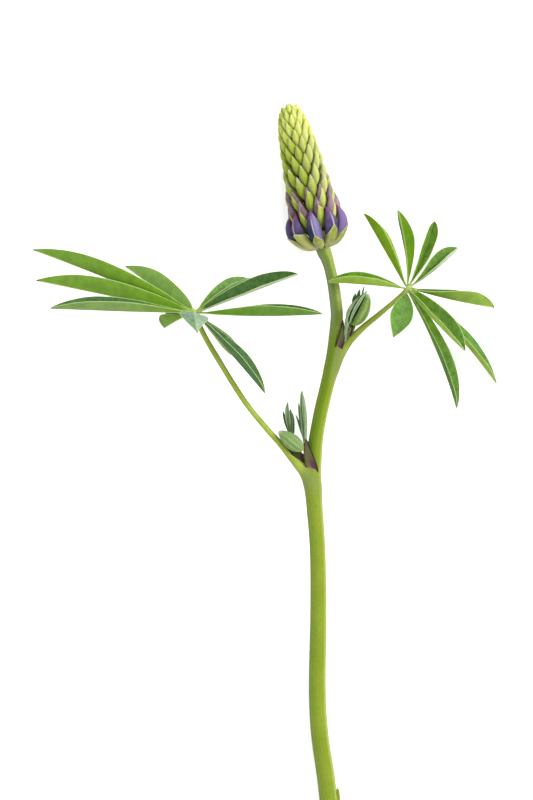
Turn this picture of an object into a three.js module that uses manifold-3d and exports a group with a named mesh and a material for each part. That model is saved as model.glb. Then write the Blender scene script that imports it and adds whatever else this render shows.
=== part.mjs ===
// Lupin flower spike, a cut stem lying on a flat surface.
// One stem carries two hand-shaped leaves, the young growth in their axils, and at its end
// a spike of buds in whorls, the lowest whorl already in colour.
// Millimetres, +Z up, the surface at z = 0; the stem runs along +Y, from the cut to the spike.
import * as THREE from "three";
import { mergeVertices } from "three/addons/utils/BufferGeometryUtils.js";
import Module from "manifold-3d";

const wasm = await Module();
wasm.setup();

// ---- driving dimensions ------------------------------------------------------------------

const GAP = 0.3; // clear space left between neighbouring pieces

// Centre line of the stem: x, y, z, and the stem's radius there.
const STEM_LINE = [
  [24.6, -134.2, 3.44, 3.4],
  [23.0, -119.4, 3.9, 3.38],
  [20.6, -102.6, 4.6, 3.3],
  [19.7, -85.3, 5.4, 3.22],
  [20.1, -57.4, 6.8, 3.1],
  [19.8, -33.9, 8.0, 2.98],
  [18.6, -16.7, 8.8, 3.1],
  [17.9, -6.9, 9.2, 3.3],
  [18.2, -0.9, 9.4, 3.1],
  [19.3, 9.6, 9.8, 2.7],
  [21.3, 20.1, 10.2, 2.65],
  [23.8, 30.6, 10.7, 2.65],
  [25.8, 40.7, 11.1, 2.65],
  [26.9, 52.7, 11.5, 2.35],
  [26.8, 57.5, 11.6, 2.3],
  [25.6, 66.5, 11.8, 2.25],
  [24.1, 73.2, 11.9, 2.2],
  [22.9, 77.0, 11.8, 2.55],
];
const STEM_SIDES = 14;
const STEM_RINGS = 34;

// Spike: where the flowering part starts, how it leans, and its length to the last bud's tip.
const SPIKE_BASE = [21.9, 79.2, 12.25];
const SPIKE_LEAN = 13.5; // degrees, to the left of the stem's run
const SPIKE_LENGTH = 56.6;
const RACHIS_RADIUS_LOW = 2.1;
const RACHIS_RADIUS_HIGH = 1.2;
const RACHIS_LENGTH = 40.9;

// Outline of the spike: distance up the axis, radius at the tips of the buds.
const SPIKE_OUTLINE = [
  [14, 10.4],
  [20.5, 9.1],
  [24.7, 8.5],
  [28.8, 8.0],
  [32.8, 7.6],
  [36.8, 7.2],
  [40.3, 6.8],
  [43.8, 6.4],
  [46.8, 6.0],
  [49.5, 5.5],
  [52.1, 4.9],
  [54.2, 4.1],
  [55.8, 2.9],
];
const PER_WHORL = 9;
const FIRST_TURN = 10; // degrees, the lowest whorl's first flower, from straight down
const WHORL_TURN = 360 / PER_WHORL / 2 + 0.8; // each whorl stands over the gaps of the one below

// Whorls of closed buds: distance of the tips up the axis, bud length, bud width.
const BUD_WHORLS = [
  [20.5, 13.4, 3.8],
  [24.7, 12.0, 3.5],
  [28.8, 11.0, 3.4],
  [32.8, 10.4, 3.2],
  [36.8, 9.8, 3.0],
  [40.3, 9.2, 2.8],
  [43.8, 8.7, 2.6],
  [46.8, 8.2, 2.4],
];
// The youngest whorls at the top, grown together into one tip, and the tip's core.
const TIP_WHORLS = [
  [49.5, 7.6, 2.0],
  [52.1, 7.0, 1.8],
  [54.2, 6.2, 1.5],
  [55.8, 5.2, 1.2],
];
const TIP_CORE = [
  [41.3, 0],
  [41.3, 1.5],
  [48.0, 1.3],
  [53.0, 0.9],
  [SPIKE_LENGTH, 0],
];
const TIP_FOOT = 0.7; // how far out from the axis the buds of the tip start
const TIP_SIDES = 8;
const BUD_SIDES = 5;
// A thin ring around the stem carries the buds of one whorl.
const COLLAR_WALL = 0.6;
const COLLAR_HEIGHT = 1.2;
const COLLAR_SIDES = 8;
const COLLAR_DEPTH = 0.87; // share of a bud's length from its tip down to the ring, about

// One open flower of the lowest whorl: its middle line as distance up the axis and out from it,
// with the half thickness (outwards) and half width (around the spike).
const FLOWER_LINE = [
  [1.2, 3.0, 0.5, 0.5],
  [1.2, 5.4, 1.6, 1.4],
  [3.2, 7.8, 2.2, 2.2],
  [6.2, 9.1, 2.4, 2.7],
  [9.6, 9.4, 2.2, 2.6],
  [12.8, 9.1, 1.5, 1.8],
  [15.8, 8.6, 0.35, 0.35],
];
const FLOWER_SIDES = 8;
const FLOWER_RINGS = 8;
const CALYX_EDGE = [8.4, 6.6]; // a point on the edge of the calyx: out, and up the axis
const CALYX_SLANT = 25; // degrees, the calyx reaches higher on the outer side
const CUT_SIZE = 60; // block that parts calyx and petals

// Leaf hubs, where the leaflets meet.
const LEFT_HUB = [-26.5, 55.7, 24.0];
const RIGHT_HUB = [53.5, 64.6, 16.0];
const HUB_RADIUS = 1.15;
const HUB_SIDES = 10;
const HUB_RINGS = 6;
const RING_RADIUS = 2.0; // where the leaflets start, around the hub
const LEFT_RING_FORWARD = 0.4; // the left ring stands upright, this far in front of its hub

// Leaf stalks, from inside the stem to the hub: x, y, z, radius.
const STALK_SIDES = 8;
const LEFT_STALK_RINGS = 16;
const RIGHT_STALK_RINGS = 12;
const LEFT_PETIOLE = [
  [19.2, -15.0, 8.4, 0.9],
  [18.2, -10.0, 8.8, 2.3],
  [15.7, -4.8, 9.8, 2.5],
  [12.4, -1.0, 11.0, 1.95],
  [9.4, 2.2, 12.1, 1.5],
  [7.1, 5.0, 13.0, 1.28],
  [4.1, 8.4, 14.0, 1.17],
  [0.5, 12.4, 15.2, 1.12],
  [-7.9, 22.9, 18.0, 1.12],
  [-18.1, 39.2, 21.2, 1.08],
  [-23.1, 48.0, 22.9, 1.03],
  [-26.5, 55.7, 24.0, 1.0],
];
const RIGHT_PETIOLE = [
  [24.0, 30.0, 10.4, 0.9],
  [25.4, 34.6, 10.7, 2.1],
  [27.3, 39.2, 10.9, 2.3],
  [29.7, 42.8, 11.3, 1.9],
  [32.5, 46.1, 11.9, 1.45],
  [37.2, 50.6, 12.8, 1.15],
  [42.4, 54.8, 13.7, 1.0],
  [49.6, 60.9, 15.2, 0.92],
  [53.5, 64.6, 16.0, 0.88],
];

// Leaflets, measured from the hub: tip, a point half way, half width of the blade, the angles
// of its two halves (0 is left of its run, 90 is up), and where it starts around the hub.
const LEFT_LEAFLETS = [
  { tip: [-60.9, 23.6, -10], mid: [-30.2, 11.7, -1.5], half: 5.3, fold: [172, 215], start: 262 },
  { tip: [-59.3, 11.9, -3], mid: [-29.4, 5.6, 2.0], half: 5.4, fold: [175, 218], start: 294 },
  { tip: [-53.6, 1.4, 6], mid: [-26.6, 0.3, 6.5], half: 4.8, fold: [132, 208], start: 327 },
  { tip: [-26.3, 17.7, -23.65], mid: [-13, 8.0, -8.5], half: 5.4, fold: [172, 238], start: 229 },
  { tip: [-11.2, -5.6, -23.6], mid: [-5.6, -2.6, -8.0], half: 4.6, fold: [160, 192], start: 192 },
  { tip: [1.5, -8.1, 19], mid: [0.5, -1.5, 12.6], half: 5.0, fold: [25, 155], start: 0 },
  { tip: [22.5, 12.0, -23.7], mid: [10.6, 7.2, -8], half: 5.0, fold: [-8, 72], start: 131 },
  { tip: [38.8, 14.3, -7], mid: [19.2, 6.8, 0.5], half: 4.8, fold: [-28, 76], start: 98 },
  { tip: [48.0, -0.6, 4], mid: [23.8, -1.5, 5.5], half: 4.6, fold: [-20, 33], start: 65 },
  { tip: [26.6, -30.4, 0], mid: [13.4, -15.0, 4.5], half: 5.3, fold: [-22, 62], start: 33 },
  { tip: [16.6, -16.2, -23.75], mid: [9.3, -8.4, -8], half: 3.6, fold: [0, 150], start: 164 },
];
const RIGHT_LEAFLETS = [
  { tip: [-30.4, 2.4, 2.5], mid: [-15.1, 1.5, 3.5], half: 4.5, fold: [128, 190], start: 175 },
  { tip: [-16.5, 28.3, -4], mid: [-8.4, 13.9, 1], half: 4.2, fold: [123, 205], start: 133 },
  { tip: [-3.7, 29.8, -9], mid: [-0.9, 14.8, -1], half: 4.0, fold: [205, 266], start: 103 },
  { tip: [10.3, 25.7, -13], mid: [6.1, 12.5, -4], half: 4.0, fold: [60, 127], start: 72 },
  { tip: [19.4, 15.6, -15.65], mid: [10.2, 7.1, -4], half: 4.3, fold: [8, 73], start: 42 },
  { tip: [32.8, -7.1, -10], mid: [16.1, -4, -1], half: 4.8, fold: [-35, 14], start: 5 },
  { tip: [33.8, -35.4, -15.6], mid: [17.9, -16.5, -3.5], half: 4.6, fold: [-46, 66], start: -28 },
  { tip: [21, -23.4, 14], mid: [9.9, -12.3, 9], half: 5.6, fold: [5, 76], start: -60 },
  { tip: [18.8, -44.8, -15.6], mid: [10.4, -22.0, -4], half: 5.2, fold: [-10, 74], start: -92 },
  { tip: [-5.9, -18.4, 22], mid: [-2.4, -9.3, 13], half: 4.6, fold: [22, 158], start: -122 },
];
const RIGHT_RING_LIFT = [0.2, 0, -0.1, -0.3, -0.3, 0, -0.5, 0.9, -0.5, 1.1];
const BLADE_THICK = 0.6;
const BLADE_WIDEST = 0.62; // share of the length at which a leaflet is widest
const BLADE_FULLNESS = 0.75; // under 1, the outline is fuller than a sine curve
const BLADE_BASE = 0.3; // half width where it starts
const BLADE_TIP = 0.25; // half width where it ends
const END_ROOM = 1.3; // how far the halves open at the narrow ends, against their thickness
const BLADE_PIECES = 10;

// Stipules, the pointed scales beside each leaf stalk: start, point half way, tip, half width.
const STIPULES = {
  lower_stipule_left: { line: [[15.0, 0.6, 11.9], [14.2, 3.2, 12.0], [13.0, 5.4, 11.6]], half: 0.7 },
  lower_stipule_right: { line: [[18.4, -3.6, 13.3], [16.9, 2.6, 13.4], [15.5, 8.2, 13.2]], half: 1.9 },
  upper_stipule_left: { line: [[26.7, 42.4, 14.4], [28.2, 47.4, 14.5], [29.1, 52.8, 14.2]], half: 0.7 },
  upper_stipule_right: { line: [[31.2, 46.4, 14.0], [31.9, 48.9, 14.6], [32.6, 51.4, 15.0]], half: 0.7 },
};
const STIPULE_FOLD = [15, 165]; // nearly flat, facing up
const STIPULE_THICK = 0.5;
const STIPULE_PIECES = 6;

// Young growth in the axils: start, tip, half width and half thickness, lift of the middle.
const AXIL_PIECES = {
  lower_axil_bud: { from: [13.9, 4.4, 13.6], to: [5.3, 11.6, 17.6], half: [2.6, 2.4], arch: 0.6 },
  lower_axil_leaf_left: { from: [11.2, 7.6, 10.6], to: [8.7, 22.0, 11.6], half: [2.0, 1.2], arch: 0.4 },
  lower_axil_leaf_right: { from: [14.6, 7.2, 10.8], to: [13.6, 26.6, 12.4], half: [1.4, 1.2], arch: 0.6 },
  upper_axil_leaf: { from: [30.4, 46.0, 16.2], to: [38.2, 63.6, 19.4], half: [2.9, 2.2], arch: 0.8 },
  upper_axil_bud: { from: [31.8, 48.8, 13.4], to: [33.6, 53.4, 14.0], half: [0.75, 0.75], arch: 0.2 },
};
const AXIL_SIDES = 10;
const AXIL_RINGS = 8;
const AXIL_TAPER = 0.35; // how much narrower a piece gets towards its tip

// ---- materials ---------------------------------------------------------------------------

function plant(colour, roughness) {
  return new THREE.MeshStandardMaterial({ color: colour, roughness, metalness: 0 });
}
const STEM_GREEN = plant(0x8fa739, 0.55);
const LEAF_GREEN = plant(0x5f8f3c, 0.6);
const YOUNG_GREEN = plant(0x7fa35a, 0.7);
const STIPULE_BROWN = plant(0x4b3a33, 0.7);
const BUD_GREEN = plant(0x9daa36, 0.6);
const TIP_GREEN = plant(0xc7d25a, 0.6);
const CALYX_GREEN = plant(0x8f9a4a, 0.6);
const PETAL_PURPLE = plant(0x5b4a9a, 0.5);

// ---- shaping -----------------------------------------------------------------------------

const vec = (p) => new THREE.Vector3(p[0], p[1], p[2]);

// Value of a table of rows [at, value] at a given place.
function readTable(table, at) {
  let i = 1;
  while (i < table.length - 1 && table[i][0] < at) i += 1;
  const [a, b] = [table[i - 1], table[i]];
  const share = THREE.MathUtils.clamp((at - a[0]) / (b[0] - a[0]), 0, 1);
  return THREE.MathUtils.lerp(a[1], b[1], share);
}

// Closed tube along rows of x, y, z, radius: a cylinder whose rings are laid along the line.
function stalk(rows, sides, rings, extra = 0) {
  const line = new THREE.CatmullRomCurve3(rows.map(vec), false, "centripetal");
  const frames = line.computeFrenetFrames(rings, false);
  const shape = new THREE.CylinderGeometry(1, 1, 1, sides, rings);
  const at = shape.getAttribute("position");
  for (let i = 0; i < at.count; i += 1) {
    const ring = Math.round((at.getY(i) + 0.5) * rings);
    const u = ring / rings;
    const place = line.getPointAt(u);
    const t = line.getUtoTmapping(u) * (rows.length - 1);
    const row = Math.min(Math.floor(t), rows.length - 2);
    const radius = THREE.MathUtils.lerp(rows[row][3], rows[row + 1][3], t - row) + extra;
    place.addScaledVector(frames.normals[ring], at.getX(i) * radius);
    place.addScaledVector(frames.binormals[ring], -at.getZ(i) * radius);
    at.setXYZ(i, place.x, place.y, place.z);
  }
  return shape;
}

// Direction across a line: level, and square to the way from start to tip.
function sideways(start, tip) {
  return new THREE.Vector3(start.y - tip.y, tip.x - start.x, 0).normalize();
}

// Share of the full width of a blade, at a share of its length.
function bladeWidth(share) {
  const power = Math.log(0.5) / Math.log(BLADE_WIDEST);
  return Math.max(Math.sin(Math.PI * share ** power), 0) ** BLADE_FULLNESS;
}

// Blade folded along its midrib: a flat box bent along the line, its two halves turned to the
// angles of the fold, measured from the left of its run towards up.
function blade(line, half, fold, thick, pieces) {
  const across = sideways(line.getPoint(0), line.getPoint(1));
  const middle = THREE.MathUtils.degToRad((fold[0] + fold[1]) / 2);
  const shape = new THREE.BoxGeometry(1, 2, 1, pieces, 2, 1);
  const at = shape.getAttribute("position");
  for (let i = 0; i < at.count; i += 1) {
    const share = at.getX(i) + 0.5;
    const run = line.getTangentAt(share);
    const left = across.clone().addScaledVector(run, -across.dot(run)).normalize();
    const up = run.clone().cross(left);
    const taper = THREE.MathUtils.lerp(BLADE_BASE, BLADE_TIP, share);
    const width = Math.max(half * bladeWidth(share), taper);
    const reach = width * Math.abs(at.getY(i));
    // The narrow ends open out, so the inner sides of the halves never pass through each other.
    const least = 2 * Math.atan((END_ROOM * thick) / 2 / width);
    const opening = Math.max(THREE.MathUtils.degToRad(fold[1] - fold[0]), least);
    const side = Math.sign(at.getY(i));
    const angle = middle - (side * opening) / 2;
    const lean = side === 0 ? middle : angle + (side * Math.PI) / 2;
    const depth = side === 0 ? Math.min(thick / 2 / Math.sin(opening / 2), thick) : thick / 2;
    const place = line.getPointAt(share);
    place.addScaledVector(left, Math.cos(angle) * reach).addScaledVector(up, Math.sin(angle) * reach);
    const offset = Math.sign(at.getZ(i)) * depth;
    place.addScaledVector(left, Math.cos(lean) * offset).addScaledVector(up, Math.sin(lean) * offset);
    at.setXYZ(i, place.x, place.y, place.z);
  }
  return shape;
}

// Line from start to tip that passes the point half way.
function arc(start, middle, tip) {
  const ends = start.clone().add(tip).multiplyScalar(0.5);
  return new THREE.QuadraticBezierCurve3(start, middle.clone().multiplyScalar(2).sub(ends), tip);
}

// Leaflet from its place on the ring around the hub.
function leaflet(hub, row, ringPoint) {
  const start = hub.clone().add(ringPoint);
  return blade(
    arc(start, hub.clone().add(vec(row.mid)), hub.clone().add(vec(row.tip))),
    row.half,
    row.fold,
    BLADE_THICK,
    BLADE_PIECES,
  );
}

// Pointed bud: a lathe profile with a narrow foot, +Y along the bud, one unit long.
const BUD_PROFILE = [
  [0, 0],
  [0.3, 0.03],
  [0.96, 0.5],
  [0.84, 0.72],
  [0, 1],
];
function budShape(length, width, thick, sides) {
  const shape = new THREE.LatheGeometry(
    BUD_PROFILE.map(([r, y]) => new THREE.Vector2(r, y)),
    sides,
  );
  return shape.scale(width / 2, length, thick / 2);
}

// Ovoid from one point to another, its middle lifted.
function ovoid(piece) {
  const [start, tip] = [vec(piece.from), vec(piece.to)];
  const [wide, thick] = piece.half;
  const length = start.distanceTo(tip);
  const shape = new THREE.SphereGeometry(1, AXIL_SIDES, AXIL_RINGS);
  const at = shape.getAttribute("position");
  const run = tip.clone().sub(start).normalize();
  const left = sideways(start, tip);
  const up = run.clone().cross(left);
  for (let i = 0; i < at.count; i += 1) {
    const share = (1 - at.getY(i)) / 2;
    const sharpen = 1 - AXIL_TAPER * share;
    const place = start.clone().addScaledVector(run, length * share);
    place.addScaledVector(left, at.getX(i) * wide * sharpen);
    place.addScaledVector(up, at.getZ(i) * thick * sharpen + piece.arch * (1 - at.getY(i) ** 2));
    at.setXYZ(i, place.x, place.y, place.z);
  }
  return shape;
}

// ---- joining and cutting -----------------------------------------------------------------

function toSolid(geometry) {
  const bare = geometry.clone();
  bare.deleteAttribute("normal");
  bare.deleteAttribute("uv");
  const merged = mergeVertices(bare, 1e-4);
  return new wasm.Manifold(
    new wasm.Mesh({
      numProp: 3,
      vertProperties: new Float32Array(merged.getAttribute("position").array),
      triVerts: new Uint32Array(merged.index.array),
    }),
  );
}

function toGeometry(solid) {
  const mesh = solid.getMesh();
  const geometry = new THREE.BufferGeometry();
  geometry.setAttribute("position", new THREE.BufferAttribute(new Float32Array(mesh.vertProperties), 3));
  geometry.setIndex(new THREE.BufferAttribute(new Uint32Array(mesh.triVerts), 1));
  geometry.computeVertexNormals();
  return geometry;
}

function joined(shapes) {
  return toGeometry(shapes.map(toSolid).reduce((all, one) => all.add(one)));
}

// ---- the spike ---------------------------------------------------------------------------

function rachisRadius(height) {
  return THREE.MathUtils.lerp(RACHIS_RADIUS_LOW, RACHIS_RADIUS_HIGH, height / RACHIS_LENGTH);
}

// Thin ring around the rachis that holds the buds of one whorl together.
function collar(height, tall) {
  const inside = (rachisRadius(height) + GAP) / Math.cos(Math.PI / COLLAR_SIDES);
  const outside = inside + COLLAR_WALL;
  const profile = [
    [inside, height],
    [outside, height],
    [outside, height + tall],
    [inside, height + tall],
    [inside, height],
  ];
  const ring = new THREE.LatheGeometry(
    profile.map(([r, y]) => new THREE.Vector2(r, y)),
    COLLAR_SIDES,
  );
  return ring.rotateX(Math.PI / 2);
}

// Buds of one whorl, the axis of the spike along +Z; foot is how far out they start.
function whorlBuds([tipHeight, length, width], turn, sides, foot) {
  const lean = Math.asin((readTable(SPIKE_OUTLINE, tipHeight) - foot) / length);
  const buds = [];
  for (let i = 0; i < PER_WHORL; i += 1) {
    const bud = budShape(length, width, width, sides);
    bud.rotateX(Math.PI / 2 - lean);
    bud.translate(0, foot, tipHeight - length * Math.cos(lean));
    bud.rotateZ(THREE.MathUtils.degToRad(turn + (360 / PER_WHORL) * i));
    buds.push(bud);
  }
  return buds;
}

// One flower as a solid: an ovoid laid along its middle line, flat side against its neighbours.
function flowerSolid() {
  const line = new THREE.CatmullRomCurve3(
    FLOWER_LINE.map(([up, out]) => new THREE.Vector3(0, out, up)),
    false,
    "centripetal",
  );
  const shape = new THREE.CylinderGeometry(1, 1, 1, FLOWER_SIDES, FLOWER_RINGS);
  const at = shape.getAttribute("position");
  const around = new THREE.Vector3(1, 0, 0);
  for (let i = 0; i < at.count; i += 1) {
    const u = at.getY(i) + 0.5;
    const t = line.getUtoTmapping(u) * (FLOWER_LINE.length - 1);
    const row = Math.min(Math.floor(t), FLOWER_LINE.length - 2);
    const thick = THREE.MathUtils.lerp(FLOWER_LINE[row][2], FLOWER_LINE[row + 1][2], t - row);
    const wide = THREE.MathUtils.lerp(FLOWER_LINE[row][3], FLOWER_LINE[row + 1][3], t - row);
    const outward = line.getTangentAt(u).cross(around);
    const place = line.getPointAt(u);
    place.addScaledVector(around, at.getX(i) * wide);
    place.addScaledVector(outward, -at.getZ(i) * thick);
    at.setXYZ(i, place.x, place.y, place.z);
  }
  return toSolid(shape);
}

// Block with its lower or upper face on the slanted plane between calyx and petals.
function cutBlock(upper) {
  const block = new THREE.BoxGeometry(CUT_SIZE, CUT_SIZE, CUT_SIZE);
  block.translate(0, 0, ((upper ? 1 : -1) * (CUT_SIZE + GAP)) / 2);
  block.rotateX(THREE.MathUtils.degToRad(CALYX_SLANT));
  block.translate(0, ...CALYX_EDGE);
  return toSolid(block);
}

// ---- assembly ----------------------------------------------------------------------------

const lupin = new THREE.Group();

function place(parent, name, geometry, material) {
  const mesh = new THREE.Mesh(geometry, material);
  mesh.name = name;
  parent.add(mesh);
  return mesh;
}

const spikeBase = vec(SPIKE_BASE);
const spikeRun = new THREE.Vector3(0, 1, 0).applyAxisAngle(
  new THREE.Vector3(0, 0, 1),
  THREE.MathUtils.degToRad(SPIKE_LEAN),
);
const rachisRows = [0, 0.25, 0.5, 0.75, 1].map((share) => {
  const height = RACHIS_LENGTH * share;
  const point = spikeBase.clone().addScaledVector(spikeRun, height);
  return [point.x, point.y, point.z, rachisRadius(height)];
});
const stemRows = [...STEM_LINE, ...rachisRows];
place(lupin, "main_stem", stalk(stemRows, STEM_SIDES, STEM_RINGS), STEM_GREEN);

// Leaf stalks end in the hub and sit against the stem with a small gap.
const stemRoom = toSolid(stalk(stemRows, STEM_SIDES, STEM_RINGS, GAP));
function petiole(rows, rings, hub) {
  const ball = new THREE.SphereGeometry(HUB_RADIUS, HUB_SIDES, HUB_RINGS).translate(...hub);
  return toGeometry(toSolid(stalk(rows, STALK_SIDES, rings)).subtract(stemRoom).add(toSolid(ball)));
}
place(lupin, "left_petiole", petiole(LEFT_PETIOLE, LEFT_STALK_RINGS, LEFT_HUB), STEM_GREEN);
place(lupin, "right_petiole", petiole(RIGHT_PETIOLE, RIGHT_STALK_RINGS, RIGHT_HUB), STEM_GREEN);

const twoDigits = (count) => String(count).padStart(2, "0");
const [leftHub, rightHub] = [vec(LEFT_HUB), vec(RIGHT_HUB)];
LEFT_LEAFLETS.forEach((row, i) => {
  const turn = THREE.MathUtils.degToRad(row.start);
  const ring = new THREE.Vector3(Math.sin(turn), 0, Math.cos(turn)).multiplyScalar(RING_RADIUS);
  ring.y = LEFT_RING_FORWARD;
  place(lupin, "left_leaflet_" + twoDigits(i + 1), leaflet(leftHub, row, ring), LEAF_GREEN);
});
RIGHT_LEAFLETS.forEach((row, i) => {
  const turn = THREE.MathUtils.degToRad(row.start);
  const ring = new THREE.Vector3(Math.cos(turn), Math.sin(turn), 0).multiplyScalar(RING_RADIUS);
  ring.z = RIGHT_RING_LIFT[i];
  place(lupin, "right_leaflet_" + twoDigits(i + 1), leaflet(rightHub, row, ring), LEAF_GREEN);
});

for (const [name, { line, half }] of Object.entries(STIPULES)) {
  const shape = blade(arc(...line.map(vec)), half, STIPULE_FOLD, STIPULE_THICK, STIPULE_PIECES);
  place(lupin, name, shape, STIPULE_BROWN);
}
for (const [name, piece] of Object.entries(AXIL_PIECES)) {
  place(lupin, name, ovoid(piece), YOUNG_GREEN);
}

const spike = new THREE.Group();
spike.position.copy(spikeBase);
spike.quaternion.setFromUnitVectors(new THREE.Vector3(0, 0, 1), spikeRun);
lupin.add(spike);

const flower = flowerSolid();
const calyxPart = toGeometry(flower.intersect(cutBlock(false)));
const petalPart = toGeometry(flower.intersect(cutBlock(true)));
for (let i = 0; i < PER_WHORL; i += 1) {
  const turn = THREE.MathUtils.degToRad(FIRST_TURN + (360 / PER_WHORL) * i);
  place(spike, "flower_" + (i + 1) + "_calyx", calyxPart, CALYX_GREEN).rotation.z = turn;
  place(spike, "flower_" + (i + 1) + "_petals", petalPart, PETAL_PURPLE).rotation.z = turn;
}

BUD_WHORLS.forEach((row, i) => {
  const [tipHeight, length] = row;
  const foot = rachisRadius(tipHeight - length * COLLAR_DEPTH) + GAP + COLLAR_WALL / 2;
  const buds = whorlBuds(row, FIRST_TURN + WHORL_TURN * (i + 1), BUD_SIDES, foot);
  const reach = readTable(SPIKE_OUTLINE, tipHeight) - foot;
  const ring = collar(tipHeight - Math.sqrt(length ** 2 - reach ** 2) - COLLAR_HEIGHT / 2, COLLAR_HEIGHT);
  place(spike, "bud_whorl_" + twoDigits(i + 2), joined([ring, ...buds]), BUD_GREEN);
});
const tipBuds = TIP_WHORLS.flatMap((row, i) =>
  whorlBuds(row, FIRST_TURN + WHORL_TURN * (BUD_WHORLS.length + 1 + i), BUD_SIDES, TIP_FOOT),
);
const tipCore = new THREE.LatheGeometry(
  TIP_CORE.map(([height, radius]) => new THREE.Vector2(radius, height)),
  TIP_SIDES,
);
place(spike, "spike_tip", joined([tipCore.rotateX(Math.PI / 2), ...tipBuds]), TIP_GREEN);

export default lupin;
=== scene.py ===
# A cut lupin stem lying on a pale table: spike of whorled buds, two hand-shaped leaves,
# and the young growth in their axils.
import math
import random

import bmesh
import bpy
from mathutils import Matrix, Vector


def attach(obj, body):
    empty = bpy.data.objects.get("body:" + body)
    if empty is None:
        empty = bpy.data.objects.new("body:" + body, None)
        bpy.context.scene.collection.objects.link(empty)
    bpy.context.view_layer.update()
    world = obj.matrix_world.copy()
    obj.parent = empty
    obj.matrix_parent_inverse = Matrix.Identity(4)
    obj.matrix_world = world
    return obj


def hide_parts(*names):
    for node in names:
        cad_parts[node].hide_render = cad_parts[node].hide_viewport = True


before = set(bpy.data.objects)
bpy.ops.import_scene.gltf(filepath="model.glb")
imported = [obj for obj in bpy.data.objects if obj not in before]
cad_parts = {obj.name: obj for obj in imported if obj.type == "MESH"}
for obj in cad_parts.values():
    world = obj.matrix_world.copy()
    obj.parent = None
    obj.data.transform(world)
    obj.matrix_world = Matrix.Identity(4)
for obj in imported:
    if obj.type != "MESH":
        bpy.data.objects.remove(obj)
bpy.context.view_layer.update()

chance = random.Random(14)
MM = 0.001
STUDIO_LIGHT = 2.2  # how much brighter the studio is than plain white

# ---- driving dimensions, in millimetres and degrees, as in the frame ----

# Centre line of the stem: x, y, z and radius, from the cut to the foot of the spike.
STEM_LINE = [
    (24.6, -134.2, 3.44, 3.4),
    (23.0, -119.4, 3.9, 3.38),
    (20.6, -102.6, 4.6, 3.3),
    (19.7, -85.3, 5.4, 3.22),
    (20.1, -57.4, 6.8, 3.1),
    (19.8, -33.9, 8.0, 2.98),
    (18.6, -16.7, 8.8, 3.1),
    (17.9, -6.9, 9.2, 3.3),
    (18.2, -0.9, 9.4, 3.1),
    (19.3, 9.6, 9.8, 2.7),
    (21.3, 20.1, 10.2, 2.65),
    (23.8, 30.6, 10.7, 2.65),
    (25.8, 40.7, 11.1, 2.65),
    (26.9, 52.7, 11.5, 2.35),
    (26.8, 57.5, 11.6, 2.3),
    (25.6, 66.5, 11.8, 2.25),
    (24.1, 73.2, 11.9, 2.2),
    (22.9, 77.0, 11.8, 2.55),
]
SPIKE_BASE = (21.9, 79.2, 12.25)
SPIKE_LEAN = 13.5
# Stem inside the spike: distance up the spike's axis, and radius.
RACHIS = [(0, 2.8), (3, 2.6), (8, 1.9), (20, 1.65), (30, 1.4), (41, 1.1), (52, 0.7)]

# Leaf stalks in the same way, from inside the stem to the hub.
LEFT_PETIOLE = [
    (19.2, -15.0, 8.4, 0.9),
    (18.2, -10.0, 8.8, 2.3),
    (15.7, -4.8, 9.8, 2.5),
    (12.4, -1.0, 11.0, 1.95),
    (9.4, 2.2, 12.1, 1.5),
    (7.1, 5.0, 13.0, 1.28),
    (4.1, 8.4, 14.0, 1.17),
    (0.5, 12.4, 15.2, 1.12),
    (-7.9, 22.9, 18.0, 1.12),
    (-18.1, 39.2, 21.2, 1.08),
    (-23.1, 48.0, 22.9, 1.03),
    (-26.5, 55.7, 24.0, 1.0),
]
RIGHT_PETIOLE = [
    (24.0, 30.0, 10.4, 0.9),
    (25.4, 34.6, 10.7, 2.1),
    (27.3, 39.2, 10.9, 2.3),
    (29.7, 42.8, 11.3, 1.9),
    (32.5, 46.1, 11.9, 1.45),
    (37.2, 50.6, 12.8, 1.15),
    (42.4, 54.8, 13.7, 1.0),
    (49.6, 60.9, 15.2, 0.92),
    (53.5, 64.6, 16.0, 0.88),
]
HUB = [(0.8, 1.2), (1.5, 0.9), (1.8, 0.25)]  # past the end of a leaf stalk, and the radius there
HUB_FOOT = 1.15  # how much the stalk swells where its hub begins
# The cut end: width of the rind and of the pith's rim, as shares of the radius, and how far the
# pith is sunk, as a share of the stem's length.
RIND = 0.16
PITH_EDGE = 0.05
PITH_SUNK = 0.0008
# Where a leaf stalk meets the stem: how softly they run together, how far off the skin changes
# colour, how far apart they are still looked at, how deep inside the other a skin is still moved,
# how much of that depth it keeps, and how often it is moved.
JOINT_SOFT = 2.0
JOINT_FADE = 2.4
JOINT_SEARCH = 12
JOINT_DEEP = 0.7
JOINT_SINK = 0.3
JOINT_ROUNDS = 5
JOINT_GREEN = (136, 153, 80)
STEM_RIBS = 17.0  # fine ribs around the stem

# Shades of green that the leaves are painted from.
TONES = {
    "lime": (154, 186, 66), "fresh": (124, 162, 28), "rich": (92, 132, 2), "grass": (100, 148, 34),
    "leafy": (116, 156, 54), "cool": (100, 144, 58), "mottled": (104, 146, 56), "deep": (80, 122, 44),
    "velvet": (66, 102, 46), "sage": (128, 160, 84), "pale": (132, 172, 80), "silver": (148, 176, 146),
    "silk": (186, 202, 174), "olive": (140, 158, 92), "shade": (62, 100, 54), "fallow": (128, 158, 62),
    "dusk": (80, 118, 68), "glaucous": (118, 149, 116), "greyed": (120, 164, 86),
}
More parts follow.
